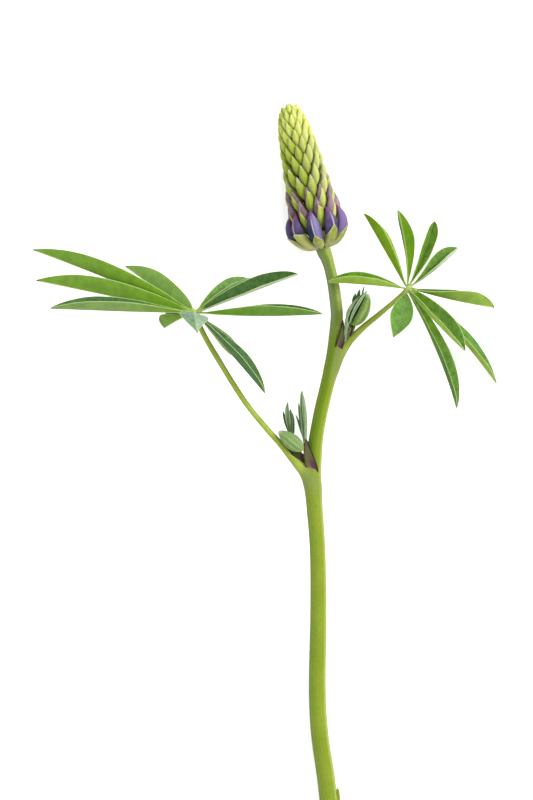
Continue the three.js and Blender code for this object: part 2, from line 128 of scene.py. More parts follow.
# Leaflets, measured from the hub: tip, a point half way, half width, the angles of the two
# halves (0 is left of the run, 90 is up), and the place around the hub. Where they differ from the
# common outline: lean over 1 has the widest part nearer the hub, full under 1 a fuller foot, point
# over 1 a finer tip; tip_fold is the fold at the tip, across the way the blade's left half faces.
# Tones are the greens of the two halves, lush how far a fresher green reaches from the hub.
LEFT_LEAFLETS = [
    dict(tip=(-60.9, 23.6, -10), mid=(-30.2, 11.7, -1.5), half=6.0, fold=(172, 215), start=262,
         lean=1.1, full=0.7, point=1.1, tones=("leafy", "leafy"), lush=0.2),
    dict(tip=(-59.3, 11.9, -3), mid=(-29.4, 5.6, 2.0), half=6.4, fold=(175, 218), start=294,
         lean=1.1, full=0.7, point=1.1, tones=("leafy", "grass"), lush=0.1),
    dict(tip=(-53.6, 1.4, 6), mid=(-26.6, 0.3, 6.5), half=6.2, fold=(136, 205),
         tip_fold=(120, 205), start=327, full=0.9, tones=("sage", "dusk")),
    dict(tip=(-26.3, 17.7, -23.65), mid=(-13, 8.0, -8.5), half=6.3, fold=(172, 238), start=229,
         lean=1.5, full=0.6, point=1.15, tones=("pale", "pale"), lush=-0.6),
    dict(tip=(-11.2, -5.6, -23.6), mid=(-5.6, -2.6, -8.0), half=5.4, fold=(160, 192), start=192,
         lean=0.75, point=0.6, tones=("leafy", "leafy")),
    dict(tip=(1.5, -8.1, 19), mid=(0.5, -1.5, 12.6), half=5.6, fold=(-6, 186), start=0,
         across=(0.97, -0.22, 0), lean=1.5, point=1.7, tones=("silver", "glaucous"), lush=-1, rib=0.4),
    dict(tip=(22.5, 12.0, -23.7), mid=(10.6, 7.2, -8), half=4.6, fold=(-8, 72), start=131,
         full=0.8, tones=("greyed", "greyed")),
    dict(tip=(38.8, 14.3, -7), mid=(19.2, 6.8, 0.5), half=5.8, fold=(-28, 84), start=98,
         full=0.6, point=0.75, tones=("velvet", "silk"), lush=-0.5),
    dict(tip=(48.0, -0.6, 4), mid=(23.8, -1.5, 5.5), half=5.1, fold=(-20, 4), tip_fold=(-20, 60),
         start=65, tones=("shade", "mottled")),
    dict(tip=(26.6, -30.4, 0), mid=(13.4, -15.0, 4.5), half=5.2, fold=(-22, 62), start=33,
         tones=("dusk", "dusk"), lush=-0.4),
    dict(tip=(16.6, -16.2, -23.75), mid=(9.3, -8.4, -8), half=2.8, fold=(0, 150), start=164,
         tones=("olive", "olive")),
]
RIGHT_LEAFLETS = [
    dict(tip=(-30.4, 2.4, 2.5), mid=(-15.1, 1.5, 3.5), half=4.9, fold=(128, 190), start=175,
         lean=1.1, tones=("lime", "grass"), lush=-0.2),
    dict(tip=(-16.5, 28.3, -4), mid=(-8.4, 13.9, 1), half=4.8, fold=(138, 205), start=133,
         full=0.85, tones=("fresh", "lime"), lush=-0.2),
    dict(tip=(-3.7, 29.8, -9), mid=(-0.9, 14.8, -1), half=4.5, fold=(205, 254),
         tip_fold=(205, 282), start=103, tones=("rich", "rich"), lush=-0.5, rib=0.5),
    dict(tip=(10.3, 25.7, -13), mid=(6.1, 12.5, -4), half=4.2, fold=(60, 127), start=72,
         tones=("mottled", "leafy"), rib=0),
    dict(tip=(19.4, 15.6, -15.65), mid=(10.2, 7.1, -4), half=4.8, fold=(8, 76), start=42,
         tones=("mottled", "silk")),
    dict(tip=(32.8, -7.1, -10), mid=(16.1, -4, -1), half=5.3, fold=(-35, 84), tip_fold=(-35, -14),
         start=5, full=0.85, point=0.7, tones=("shade", "fallow")),
    dict(tip=(33.8, -35.4, -15.6), mid=(17.9, -16.5, -3.5), half=5.5, fold=(-40, 74), start=-28,
         tones=("cool", "lime")),
    dict(tip=(21, -23.4, 14), mid=(9.9, -12.3, 9), half=6.2, fold=(8, 76), start=-60,
         full=0.45, tones=("mottled", "lime")),
    dict(tip=(18.8, -44.8, -15.6), mid=(10.4, -22.0, -4), half=4.9, fold=(-10, 74), start=-92,
         full=0.6, tones=("mottled", "deep"), lush=0.1),
    dict(tip=(-5.9, -18.4, 22), mid=(-2.4, -9.3, 13), half=4.7, fold=(22, 158), start=-122,
         point=1.4, tones=("cool", "cool"), lush=-0.5, rib=0.2),
]
RING_RADIUS = 1.1  # the narrow foot of each leaflet starts inside the hub
LEFT_RING_FORWARD = -0.2
RIGHT_RING_LIFT = [0.2, 0, -0.1, -0.3, -0.3, 0, -0.5, 0.9, -0.5, 1.1]
BLADE_THICK = 0.36
BLADE_CURL = 34  # degrees that each half turns inwards from rib to edge
BLADE_WAVE = 0.12
WAVE_COUNT = 17
BLADE_WIDEST = 0.62  # share of the length where a leaflet is widest
BLADE_FULLNESS = 0.75
BLADE_LEAST = (0.12, 0.04)  # share of the width that is left at the foot and at the tip
BLADE_STEPS = 28
BLADE_ROWS = {0.25: 0.08, 0.5: 0.4, 0.75: 0.78}  # even rows of the flat sheet, and where they go
ON_LINE = 0.01  # what is this near a line of a blank belongs to it
VEIN_SLANT = 1.5
VEIN_COUNT = 4.2
YOUNG_STRIPES = 9.0

PER_WHORL = 9
FIRST_TURN = 10
WHORL_TURN = 360 / PER_WHORL / 2 + 0.8  # each whorl stands over the gaps of the one below
# Whorls of buds: height and radius of the spike at their tips, length, width, and how ripe: 0 is
# green, 1 is in colour, and the youngest are below 0.
BUD_WHORLS = [
    (20.5, 9.1, 15.0, 4.7, 0.62), (24.7, 8.5, 12.6, 4.2, 0.42), (28.8, 8.0, 11.0, 3.9, 0.24),
    (32.8, 7.6, 10.4, 3.7, 0.1), (36.8, 7.2, 9.8, 3.6, 0.0), (40.3, 6.8, 9.2, 3.55, -0.1),
    (43.8, 6.4, 8.7, 3.5, -0.25), (46.8, 6.0, 8.2, 3.45, -0.45), (49.5, 5.5, 7.6, 3.4, -0.65),
    (52.1, 4.9, 7.0, 3.25, -0.85), (54.2, 4.1, 6.2, 3.05, -1.0), (55.8, 2.9, 5.2, 2.6, -1.0),
]
TIP_FROM = 8  # the whorls from here on have grown into one tip
OPEN_FROM = 0.05  # buds riper than this show their petals
TURN_PLAY = 2.5  # how much the buds of a whorl differ, in turn, size and height
SIZE_PLAY = (0.95, 1.05)
HEIGHT_PLAY = 0.3
BUD_DEPTH = 0.95  # of its width
BUD_BOW = (0.74, 0.44)  # half way along a bud: how much of its way out and up it has gone
# Middle line of an open flower: up the axis, and out from it.
FLOWER_LINE = [(1.0, 2.0), (2.2, 4.9), (4.6, 7.7), (7.6, 9.6), (10.6, 10.3), (13.2, 9.9), (15.8, 8.9)]
FLOWER_HALF = (3.35, 2.35)  # half width and half depth, and what share of them is there along it
FLOWER_GIRTH = [(0.0, 0.8), (0.16, 0.74), (0.34, 0.72), (0.5, 0.84), (0.62, 1.0), (1.0, 1.0)]
# Share of each flower that its calyx covers at the keel, and how much less at the sides; the one
# in front has the shortest.
FLOWER_CALYX = [
    (0.62, 0.2), (0.62, 0.2), (0.6, 0.14), (0.62, 0.07), (0.52, 0.2),
    (0.64, 0.2), (0.6, 0.2), (0.62, 0.2), (0.62, 0.2),
]
# How pink each flower is, starting from the one that faces straight down.
FLOWER_PINK = [0.4, 0.6, 0.5, 0.55, 0.3, 0.75, 0.95, 0.5, 0.2]
# Outline of every bud, along it and out: a narrow foot, a full belly, a drawn-out tip.
BUD_OUTLINE = [
    (0.0, 0.16), (0.07, 0.42), (0.16, 0.72), (0.26, 0.9), (0.36, 0.98), (0.46, 1.0),
    (0.57, 0.94), (0.68, 0.8), (0.79, 0.58), (0.89, 0.31), (0.96, 0.12), (1.0, 0.02),
]
BUD_SIDES = 12
BUD_KEEL = 1.16  # how much further out the keel is than the common outline
KEEL_CREASE = 0.6
BUD_BACK = 0.8  # how much flatter the back is
BUD_RISE = 0.88  # share of a bud's length that it rises along the spike
# How far the calyx covers a bud at its keel, and how much less at its sides, by how ripe it is.
LIP_REACH = [(0.0, 0.97), (0.24, 0.94), (0.42, 0.9), (0.62, 0.8), (1.0, 0.63)]
LIP_DROP = [(0.0, 0.16), (0.24, 0.26), (0.42, 0.4), (0.62, 0.46), (1.0, 0.28)]
LIP_BACK = 0.15  # how much of that drop there is again from the keel to the back
LIP_ROOM = 1.06  # girth of the calyx, against the bud inside it
LIP_TURN = 168  # from this turn round the spike the calyx drops less on its right side,
LIP_SKEW = 0.3  # by this share
LIP_THICK = 0.14
CALYX_THICK = 0.22
# Youngest buds at the very top: heights of their line, half width, and distance from the axis.
CROWN_HEIGHTS = (44.0, 50.6, 57.2)
CROWN_HALF = 1.8
CROWN_OUT = 0.9

# Scales beside the leaf stalks: start, point half way, tip, half width, fold at the foot.
STIPULES = {
    "lower_stipule_left": dict(line=[(15.2, -1.4, 11.2), (11.9, 2.7, 12.9), (7.2, 7.3, 13.6)],
                               half=2.0, fold=(8, 166), shade=1),
    "lower_stipule_right": dict(line=[(18.8, -5.4, 10.8), (16.3, 2.0, 13.9), (15.5, 8.6, 12.6)],
                                half=2.3, fold=(-35, 165)),
    "upper_stipule_left": dict(line=[(26.1, 38.6, 11.4), (28.6, 46.6, 14.6), (29.1, 53.2, 13.8)],
                               half=1.6, fold=(20, 200)),
    "upper_stipule_right": dict(line=[(31.4, 46.8, 13.8), (32.2, 49.6, 14.8), (32.5, 52.4, 15.2)],
                                half=0.8, fold=(8, 166)),
}
STIPULE_SHAPE = dict(tip_fold=(8, 166), lean=2.4, full=0.8)
# Young leaves in the axils: each leaflet's start, point half way, tip, half width, fold, and how
# pale and hairy it is.
LOWER_YOUNG_LEAF = [
    ((9.4, 9.5, 11.0), (7.9, 14.8, 12.2), (6.7, 18.9, 12.2), 0.8, (20, 110), 0.1),
    ((9.9, 9.5, 11.4), (8.5, 17.0, 12.8), (8.6, 22.3, 12.4), 1.2, (30, 130), 0.55),
    ((10.2, 9.5, 11.8), (9.6, 15.6, 13.0), (9.6, 19.7, 12.6), 1.0, (45, 140), 0.2),
    ((10.6, 9.5, 11.4), (10.4, 14.4, 12.6), (10.1, 18.4, 12.4), 0.75, (50, 160), 0.05),
    ((10.2, 8.0, 10.6), (9.7, 11.6, 11.6), (9.4, 15.4, 11.8), 1.5, (10, 170), 0.1),
]
LOWER_FOLDED_LEAF = [
    ((15.2, 5.4, 11.0), (15.7, 16.7, 12.4), (13.8, 26.7, 12.4), 2.1, (-12, 42), 0.75),
    ((14.7, 5.4, 11.6), (14.0, 17.4, 13.2), (13.6, 26.2, 12.6), 1.2, (45, 130), 0.3),
    ((14.6, 7.0, 10.8), (13.3, 16.6, 11.8), (12.5, 21.9, 12.0), 0.7, (30, 120), 0.4),
    ((14.5, 7.8, 10.6), (13.0, 13.8, 11.4), (11.5, 17.3, 11.6), 0.55, (30, 120), 0.3),
]
UPPER_YOUNG_LEAF = [
    ((31.2, 51.0, 16.2), (31.0, 57.0, 18.4), (37.4, 63.2, 18.4), 3.0, (125, 192), 1.0),
    ((31.4, 52.0, 17.4), (33.4, 57.8, 20.4), (38.2, 63.7, 19.2), 1.3, (70, 140), 0.0),
    ((31.8, 52.0, 17.8), (34.0, 57.6, 21.2), (38.1, 63.5, 19.4), 1.0, (60, 120), 1.0),
    ((32.4, 51.6, 17.4), (35.0, 57.0, 20.4), (38.0, 63.2, 19.2), 1.4, (30, 100), 0.0),
    ((33.0, 57.0, 15.6), (33.4, 60.2, 16.2), (33.9, 62.9, 16.2), 0.9, (20, 150), 0.1),
    ((34.4, 57.8, 15.8), (34.9, 61.4, 16.4), (35.4, 64.4, 16.4), 0.8, (20, 150), 0.1),
    ((35.8, 60.0, 16.0), (36.5, 63.0, 16.6), (37.1, 65.6, 16.6), 0.35, (20, 150), 0.3),
]
# Rounded buds: start, tip, half width, half depth.
UPPER_LEAF_BODY = ((32.8, 51.0, 15.6), (38.8, 62.8, 17.4), 3.5, 2.2)
PALE_BUD = ((14.1, 4.2, 13.4), (4.9, 11.5, 16.8), 2.9, 2.6)
DARK_BUDS = [
    ((30.6, 45.8, 13.0), (32.3, 53.0, 15.4), 0.7, 0.8),
    ((31.4, 46.8, 12.6), (34.3, 53.4, 14.6), 0.95, 0.8),
    ((30.4, 45.4, 13.2), (31.4, 52.6, 15.4), 0.6, 0.7),
]
YOUNG_STALK = [(29.9, 45.0, 13.4, 0.7), (30.3, 48.6, 15.0, 0.7), (30.9, 53.6, 16.6, 1.0)]
RIDGE_HEIGHT = 0.05  # of the folded leaflets on a bud, as a share of its width
AXIL_BUD_BOW = 0.6
# Small scale of a lower, missing leaf on the right of the stem, just above the cut.
FOOT_SCALE = [(27.3, -133.6, 3.8), (27.6, -127.6, 4.4), (27.3, -122.9, 4.6)]
FOOT_SCALE_SHAPE = dict(half=0.75, fold=(20, 200), lean=1.6, full=0.6, point=0.35)

# Table, light and camera, in metres.
TABLE_SIZE = 8
ROOM_LIGHT = 1.9
LAMP_PLACE = (1.2, 0.6, 1.3)
LAMP_AIM = (0, 0.02, 0)
LAMP_SIZE = 0.8
LAMP_POWER = 38
CAMERA_PLACE = (0.00056, 0.023, 2.512)
CAMERA_LENS = 300


# ---- lines ----

def spot(row):
    """Point in metres from millimetres."""
    return Vector(row[:3]) * MM


def mix(a, b, share):
    return a + (b - a) * share


def read_table(table, at):
    """Value of a table of rows (at, value) at a given place."""
    for (a, low), (b, high) in zip(table, table[1:]):
        if at <= b:
            return mix(low, high, max(at - a, 0) / (b - a))
    return table[-1][1]


class Route:
    """A smooth line in space, walked by the share of its length."""

    def __init__(self, points, extra=None):
        self.points = points
        self.extra = extra or [0.0] * len(points)
        self.reach = [0.0]
        for a, b in zip(points, points[1:]):
            self.reach.append(self.reach[-1] + (b - a).length)
        self.length = self.reach[-1]
        start, tip = points[0], points[-1]
        self.side = Vector((start.y - tip.y, tip.x - start.x, 0)).normalized()

    @classmethod
    def through(cls, rows, steps=10):
        """Curve that passes every row of x, y, z and radius, in millimetres."""
        rows = [Vector(row) for row in rows]
        ends = [rows[0] * 2 - rows[1], *rows, rows[-1] * 2 - rows[-2]]
        dense = []
        for a, b, c, d in zip(ends, ends[1:], ends[2:], ends[3:]):
            for i in range(steps):
                t = i / steps
                curve = b * 2 + (c - a) * t + (a * 2 - b * 5 + c * 4 - d) * t**2
                dense.append((curve + (b * 3 - c * 3 + d - a) * t**3) / 2)
        dense.append(rows[-1])
        return cls([spot(row) for row in dense], [row[3] * MM for row in dense])

    @classmethod
    def arc(cls, start, middle, tip, steps=40):
        """Single bow from start to tip that passes the point half way."""
        pull = middle * 2 - (start + tip) / 2
        shares = [i / steps for i in range(steps + 1)]
        return cls([start * (1 - t) ** 2 + pull * 2 * t * (1 - t) + tip * t**2 for t in shares])

    def facing(self, side):
        """Same line, with its left turned to a given side."""
        self.side = Vector(side)
        return self

    def at(self, share):
        """Place, left, up, and the radius there."""
        want = min(max(share, 0.0), 1.0) * self.length
        i = 1
        while i < len(self.reach) - 1 and self.reach[i] < want:
            i += 1
        t = (want - self.reach[i - 1]) / (self.reach[i] - self.reach[i - 1])
        before = self.points[max(i - 2, 0)]
        after = self.points[min(i + 1, len(self.points) - 1)]
        run = (after - before).normalized()
        left = (self.side - run * self.side.dot(run)).normalized()
        place = self.points[i - 1].lerp(self.points[i], t)
        return place, left, run.cross(left), mix(self.extra[i - 1], self.extra[i], t)


# ---- bench work ----

def start_piece(add, name, **size):
    """Adds a primitive with nothing else selected and opens it for editing."""
    bpy.ops.object.select_all(action="DESELECT")
    add(**size)
    piece = bpy.context.object
    piece.name = name
    bpy.ops.object.transform_apply(location=True, rotation=True, scale=True)
    bpy.ops.object.mode_set(mode="EDIT")
    return piece


def choose(piece, kind, wanted):
    """Selects, in edit mode, the vertices, edges or faces that a test picks by their place."""
    bpy.ops.mesh.select_mode(type=kind)
    bpy.ops.mesh.select_all(action="DESELECT")
    bm = bmesh.from_edit_mesh(piece.data)
    parts = {"VERT": bm.verts, "EDGE": bm.edges, "FACE": bm.faces}[kind]
    for part in parts:
        if wanted(part):
            part.select_set(True)
    bm.select_flush_mode()
    bmesh.update_edit_mesh(piece.data)


def resize(across, up, along=1, centre=(0, 0, 0)):
    """Scales what is selected about a fixed centre."""
    bpy.ops.transform.resize(value=(along, across, up), center_override=centre)


def close_edit():
    bpy.ops.object.mode_set(mode="OBJECT")


def copy_of(blank, name):
    """Copy with its own mesh."""
    piece = blank.copy()
    piece.data = blank.data.copy()
    piece.name = name
    bpy.context.scene.collection.objects.link(piece)
    return piece


def select_only(*pieces):
    bpy.ops.object.select_all(action="DESELECT")
    for piece in pieces:
        piece.select_set(True)
    bpy.context.view_layer.objects.active = pieces[0]


def apply_modifier(piece, kind, **settings):
    select_only(piece)
    bpy.ops.object.modifier_add(type=kind)
    modifier = piece.modifiers[-1]
    for key, value in settings.items():
        setattr(modifier, key, value)
    bpy.ops.object.modifier_apply(modifier=modifier.name)


def smooth(piece, levels=1):
    apply_modifier(piece, "SUBSURF", levels=levels, render_levels=levels)
    bpy.ops.object.shade_smooth()


def join_as(name, pieces):
    select_only(*pieces)
    bpy.ops.object.join()
    pieces[0].name = name
    return pieces[0]


def mark(piece, **notes):
    """Keeps numbers for the finish to read: one for each vertex, or one for all of them."""
    for name, values in notes.items():
        if not isinstance(values, list):
            values = [values] * len(piece.data.vertices)
        piece.data.attributes.new(name, "FLOAT", "POINT").data.foreach_set("value", values)


def dress(piece, *finishes):
    piece.data.materials.clear()
    for finish in finishes:
        piece.data.materials.append(finish)


def lay_along(piece, route):
    """Bends a piece that runs from x = 0 to 1 along a route: y goes left, z goes up."""
    for vertex in piece.data.vertices:
        place, left, up, _ = route.at(vertex.co.x)
        vertex.co = place + left * vertex.co.y + up * vertex.co.z


def settle(piece, slot, *nodes):
    """Hands a finished piece to the frame in place of its plain solids."""
    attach(piece, "root")
    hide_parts(*nodes)


# ---- finishes ----

def rgb(red, green, blue):
    """Colour as it should look in the studio's light, as the share of light it gives back."""
    levels = [c / 255 for c in (red, green, blue)]
    linear = [c / 12.92 if c <= 0.04045 else ((c + 0.055) / 1.055) ** 2.4 for c in levels]
    return (*(c / STUDIO_LIGHT for c in linear), 1)


class Finish:
    """One material, painted in layers. A colour of three numbers is one as it should look."""

    def __init__(self, name, roughness=0.6, translucent=0.0, sheen=0.0, specular=0.06):
        self.material = bpy.data.materials.new(name)
        self.material.use_nodes = True
        self.nodes = self.material.node_tree.nodes
        self.links = self.material.node_tree.links
        self.shader = self.nodes["Principled BSDF"]
        self.colour = None
        self.set(self.shader, {"Roughness": roughness, "Specular IOR Level": specular})
        if translucent:
            glow = {"Subsurface Weight": translucent, "Subsurface Radius": (0.6, 1.0, 0.25)}
            self.set(self.shader, {**glow, "Subsurface Scale": 0.0008})
        if sheen:
            self.set(self.shader, {"Sheen Weight": sheen, "Sheen Roughness": 0.45})

    def plug(self, value, socket):
        """Links a socket, or sets it when the value is plain."""
        if isinstance(value, bpy.types.NodeSocket):
            self.links.new(value, socket)
        else:
            socket.default_value = value

    def set(self, node, values):
        for key, value in values.items():
            self.plug(value, node.inputs[key])

    def add(self, kind, values, out=0, **settings):
        node = self.nodes.new(kind)
        for key, value in settings.items():
            setattr(node, key, value)
        self.set(node, values)
        return node.outputs[out]

    def number(self, name, out="Fac"):
        """What is kept under a name on the piece's vertices."""
        return self.add("ShaderNodeAttribute", {}, out=out, attribute_name=name)

    def mask(self, value):
        """A value, the name of a number kept on the vertices, or (value, low, high) for a share
        that is 0 below low, 1 above high and smooth between."""
        if isinstance(value, str):
            return self.number(value)
        if isinstance(value, tuple):
            value, low, high = value
            ends = {"Value": self.mask(value), "From Min": low, "From Max": high}
            return self.add("ShaderNodeMapRange", ends, interpolation_type="SMOOTHSTEP")
        return value

    def math(self, operation, a, b=0.0):
        return self.add("ShaderNodeMath", {0: self.mask(a), 1: self.mask(b)}, operation=operation)

    def times(self, first, *others):
        """Masks multiplied with one another."""
        for other in others:
            first = self.math("MULTIPLY", first, other)
        return first

    def noise(self, scale, detail=3.0, rough=0.5):
        place = self.add("ShaderNodeTexCoord", {}, out="Object")
        settings = {"Vector": place, "Scale": scale, "Detail": detail, "Roughness": rough}
        return self.add("ShaderNodeTexNoise", settings)

    def blend(self, factor, a, b, kind="MIX"):
        node = self.nodes.new("ShaderNodeMix")
        node.data_type = "RGBA"
        node.blend_type = kind
        self.plug(self.mask(factor), node.inputs[0])
        for socket, colour in ((node.inputs[6], a), (node.inputs[7], b)):
            if isinstance(colour, tuple) and len(colour) == 3:
                colour = rgb(*colour)
            self.plug(colour, socket)
        return node.outputs[2]

    def scaled(self, colour, share):
        """The same colour, darker or lighter."""
        return self.blend(1.0, colour, (share, share, share, 1), kind="MULTIPLY")

    def lay(self, colour, share, *masks):
        """Lays a colour over the finish, as far as the share and all of the masks let it."""
        self.colour = self.blend(self.times(*masks, share), self.colour, colour)

    def bump(self, height, distance, strength=0.3):
        values = {"Height": height, "Distance": distance * MM, "Strength": strength}
        self.set(self.shader, {"Normal": self.add("ShaderNodeBump", values)})

    def paint(self, colour):
        self.set(self.shader, {"Base Color": colour})
        return self.material


def stem_finish():
    """Smooth green skin, faint grain; painted light yellows the lamp side, painted highlight on that rim.
    """
    f = Finish("stem_skin", roughness=0.5, translucent=0.1)
    ribs = f.math("SINE", f.times(f.math("ARCTAN2", "top", "left"), STEM_RIBS))
    soft = (f.noise(60, 2), 0.35, 0.65)
    grain = f.noise(1500, 4, 0.6)
    # painted light and shade: the right side, towards the lamp, lighter and yellower than the shaded left
    green = f.blend(soft, (126, 150, 40), (136, 156, 50))
    sunny = f.blend(soft, (133, 153, 34), (143, 161, 45))
    f.colour = f.blend(("left", 0.5, -0.4), green, sunny)
    # painted shade down the left from the lower joint up, and painted shade and light under the spike
    f.lay((88, 126, 10), 0.6, ("left", 0.8, 0.45), ("left", -0.35, 0.0), ("run", 128, 150))
    upper = f.blend(("left", 0.6, 0.2), (136, 152, 108), (118, 138, 64))
    upper = f.blend(("left", -0.1, -0.45), upper, (164, 182, 94))
    f.lay(upper, 0.9, ("run", 178, 192))
    f.lay((176, 194, 96), 0.08, (ribs, 0.2, 1.0))
    f.lay((108, 138, 26), 0.42, (grain, 0.46, 0.64))
    # painted shade along the left rim, a painted highlight along the right rim
    f.lay((92, 112, 44), 0.6, ("left", 0.8, 0.97))
    f.lay((182, 197, 106), 0.75, ("left", -0.6, -0.94))
    away = f.times(("run", 150, 160), ("left", -0.3, 0.3))
    f.lay(JOINT_GREEN, 1, "joint", f.math("SUBTRACT", 1.0, away))
    f.bump(f.math("ADD", ribs, f.times(grain, 0.5)), 0.05)
    return f.paint(f.colour)


def pith_finish():
    """The cut end: pale pith inside a ring of darker fibre."""
    f = Finish("stem_cut", roughness=0.8, translucent=0.1)
    return f.paint(f.blend((f.noise(1400, 3, 0.6), 0.4, 0.62), (196, 205, 150), (168, 184, 110)))


def stalk_finish():
    """Leaf stalk: painted light yellows its top, painted shade greys its rims; pale at the hub."""
    f = Finish("stalk_skin", roughness=0.5, translucent=0.12)
    soft = (f.noise(160, 2), 0.35, 0.65)
    grain = f.noise(1100, 4, 0.6)
    # painted light and shade: a lit yellow green along the top, greyer at the shaded rims
    rims = f.blend(soft, (134, 154, 72), (146, 166, 84))
    top = f.blend(soft, (158, 177, 64), (170, 188, 78))
    f.colour = f.blend(("top", 0.1, 0.85), rims, top)
    f.lay((104, 130, 30), 0.35, (grain, 0.5, 0.7))
    f.lay(JOINT_GREEN, 1, "joint")
    f.lay((186, 206, 116), 1, ("along", 0.94, 0.975))
    f.bump(grain, 0.05)
    return f.paint(f.colour)


def veins(f):
    """Fine side veins that leave the midrib at a slant, as a 0 to 1 pattern."""
    slant = f.math("SUBTRACT", "run", f.times("from_rib", VEIN_SLANT))
    return (f.math("SINE", f.times(slant, VEIN_COUNT)), 0.6, 1.0)


def paint_leaf(f, patches, shades, fresh, speckle, vein, rib, margin, foot, furrow=0.0):
    """One face of a leaflet: mottled, with side veins, a pale midrib, margin and foot, a fresher
    green near the hub, and a small dark purplish point."""
    reach = (f.math("SUBTRACT", "along", "lush"), 0.55, 0.05)
    tone = f.blend(f.times(reach, 0.8), f.number("tone", out="Color"), fresh)
    dark, light = (f.scaled(tone, share) for share in shades)
    f.colour = f.blend((patches, 0.36, 0.64), dark, light)
    specks, share, light = speckle
    f.lay(f.scaled(tone, light), share, specks)
    share, light = vein
    f.lay(f.scaled(tone, light), share, veins(f))
    width, pale = rib
    f.lay(pale, 1, ("from_rib", width, 0.14), "rib")
    # painted shade in the furrow beside the midrib, where the rib isn't pale
    f.lay(f.scaled(tone, 0.5), furrow, ("from_rib", 0.5, 0.1), ("rib", 0.5, 0.0))
    f.lay(margin, 0.6, ("from_edge", 0.22, 0.08))
    f.lay((92, 74, 60), 0.8, ("along", 0.965, 0.99))
    f.lay(foot, 1, ("along", 0.1, 0.02))
    return f.paint(f.colour)


def leaf_upper_finish():
    """Upper face: strongly mottled, its veins sunk in, painted shade in the furrow where the rib isn't
    pale.
    """
    f = Finish("leaf_upper", roughness=0.5, translucent=0.2)
    patches = f.noise(420, 3, 0.55)
    specks = (f.noise(1400, 3, 0.65), 0.5, 0.64)
    f.bump(f.math("ADD", patches, f.times(veins(f), -0.3)), 0.15, 0.4)
    return paint_leaf(
        f, patches, shades=(0.74, 1.12), fresh=(104, 150, 16), speckle=(specks, 0.5, 1.7),
        vein=(0.22, 1.6), rib=(0.4, (202, 218, 162)), margin=(184, 204, 136),
        foot=(178, 200, 104), furrow=0.6,
    )


def leaf_under_finish():
    """Under face: smoother and a little lighter, its midrib a raised pale cord."""
    f = Finish("leaf_under", roughness=0.62, translucent=0.2)
    patches = f.noise(300, 3, 0.5)
    specks = (f.noise(1300, 3, 0.6), 0.5, 0.68)
    f.bump(patches, 0.12, 0.35)
    return paint_leaf(
        f, patches, shades=(0.88, 1.08), fresh=(108, 154, 20), speckle=(specks, 0.3, 1.4),
        vein=(0.14, 1.5), rib=(0.42, (200, 218, 140)), margin=(180, 200, 130), foot=(164, 190, 78),
    )


def leaf_margin_finish():
    """Rim of a blade, pale with short silky hairs."""
    f = Finish("leaf_margin", roughness=0.7, translucent=0.3, sheen=0.15)
    return f.paint(f.blend((f.noise(1500, 2), 0.4, 0.6), (164, 190, 112), (192, 210, 148)))


def young_finish(name, dark, pale):
    """Young growth, closely hairy, darker or paler by leaflet, with lengthwise stripes."""
    f = Finish(name, roughness=0.75, translucent=0.1)
    patches = f.noise(600, 3, 0.6)
    hairs = f.noise(2600, 2, 0.7)
    f.colour = f.blend("glow", dark, pale)
    stripes = f.math("SINE", f.times("from_rib", YOUNG_STRIPES))
    f.lay((166, 192, 160), 0.5, (stripes, 0.1, 0.9), "glow")
    f.lay((74, 108, 50), 0.3, (patches, 0.4, 0.62))
    f.lay((186, 200, 164), 0.6, (hairs, 0.52, 0.7), "glow")
    f.lay((176, 196, 158), 1, ("from_edge", 0.18, 0.05), "glow")
    f.bump(hairs, 0.1, 0.4)
    return f.paint(f.colour)


def bud_leaf_finish(name, valley, ridge, foot, tip):
    """Bud of folded leaflets that show as hairy ridges, with its own foot and tip."""
    f = Finish(name, roughness=0.75, translucent=0.1)
    hairs = f.noise(2600, 2, 0.7)
    patches = f.noise(700, 3, 0.6)
    f.colour = f.blend(f.times(("ridge", -0.6, 0.8), 0.7), valley, ridge)
    f.lay(valley, 0.5, (patches, 0.42, 0.6))
    f.lay((196, 206, 172), 0.45, (hairs, 0.52, 0.7))
    f.lay(foot, 1, ("along", 0.16, 0.02))
    f.lay(tip, 1, ("along", 0.84, 1.0))
    f.bump(hairs, 0.1, 0.4)
    return f.paint(f.colour)


def young_stalk_finish():
    f = Finish("young_stalk_skin", roughness=0.7)
    hairs = f.noise(2400, 2, 0.7)
    return f.paint(f.blend((hairs, 0.4, 0.66), (122, 150, 96), (166, 188, 156)))


def dark_bud_finish():
    """Small shaded buds deep in the upper axil."""
    f = Finish("dark_bud", roughness=0.75, sheen=0.1)
    return f.paint(f.blend((f.noise(900, 3, 0.6), 0.4, 0.6), (58, 64, 36), (118, 132, 74)))


def stipule_finish():
    """Thin scale: dark at its edges, olive in the middle, flushed purple low on one side."""
    f = Finish("stipule_scale", roughness=0.7, sheen=0.05)
    rim = f.blend((f.noise(500, 3, 0.6), 0.4, 0.6), (40, 30, 26), (70, 56, 46))
    f.colour = f.blend(("along", 0.45, 0.7), (150, 124, 90), (96, 100, 58))
    f.lay((98, 52, 76), 1, ("side", 0.15, -0.15), ("along", 0.84, 0.62))
    # painted shade: a scale given a shade value is darkened all over
    f.lay((52, 56, 24), 0.85, "glow")
    f.colour = f.blend(("from_edge", 0.2, 0.7), rim, f.colour)
    f.lay((190, 184, 96), 1, ("along", 0.06, 0.0))
    return f.paint(f.colour)


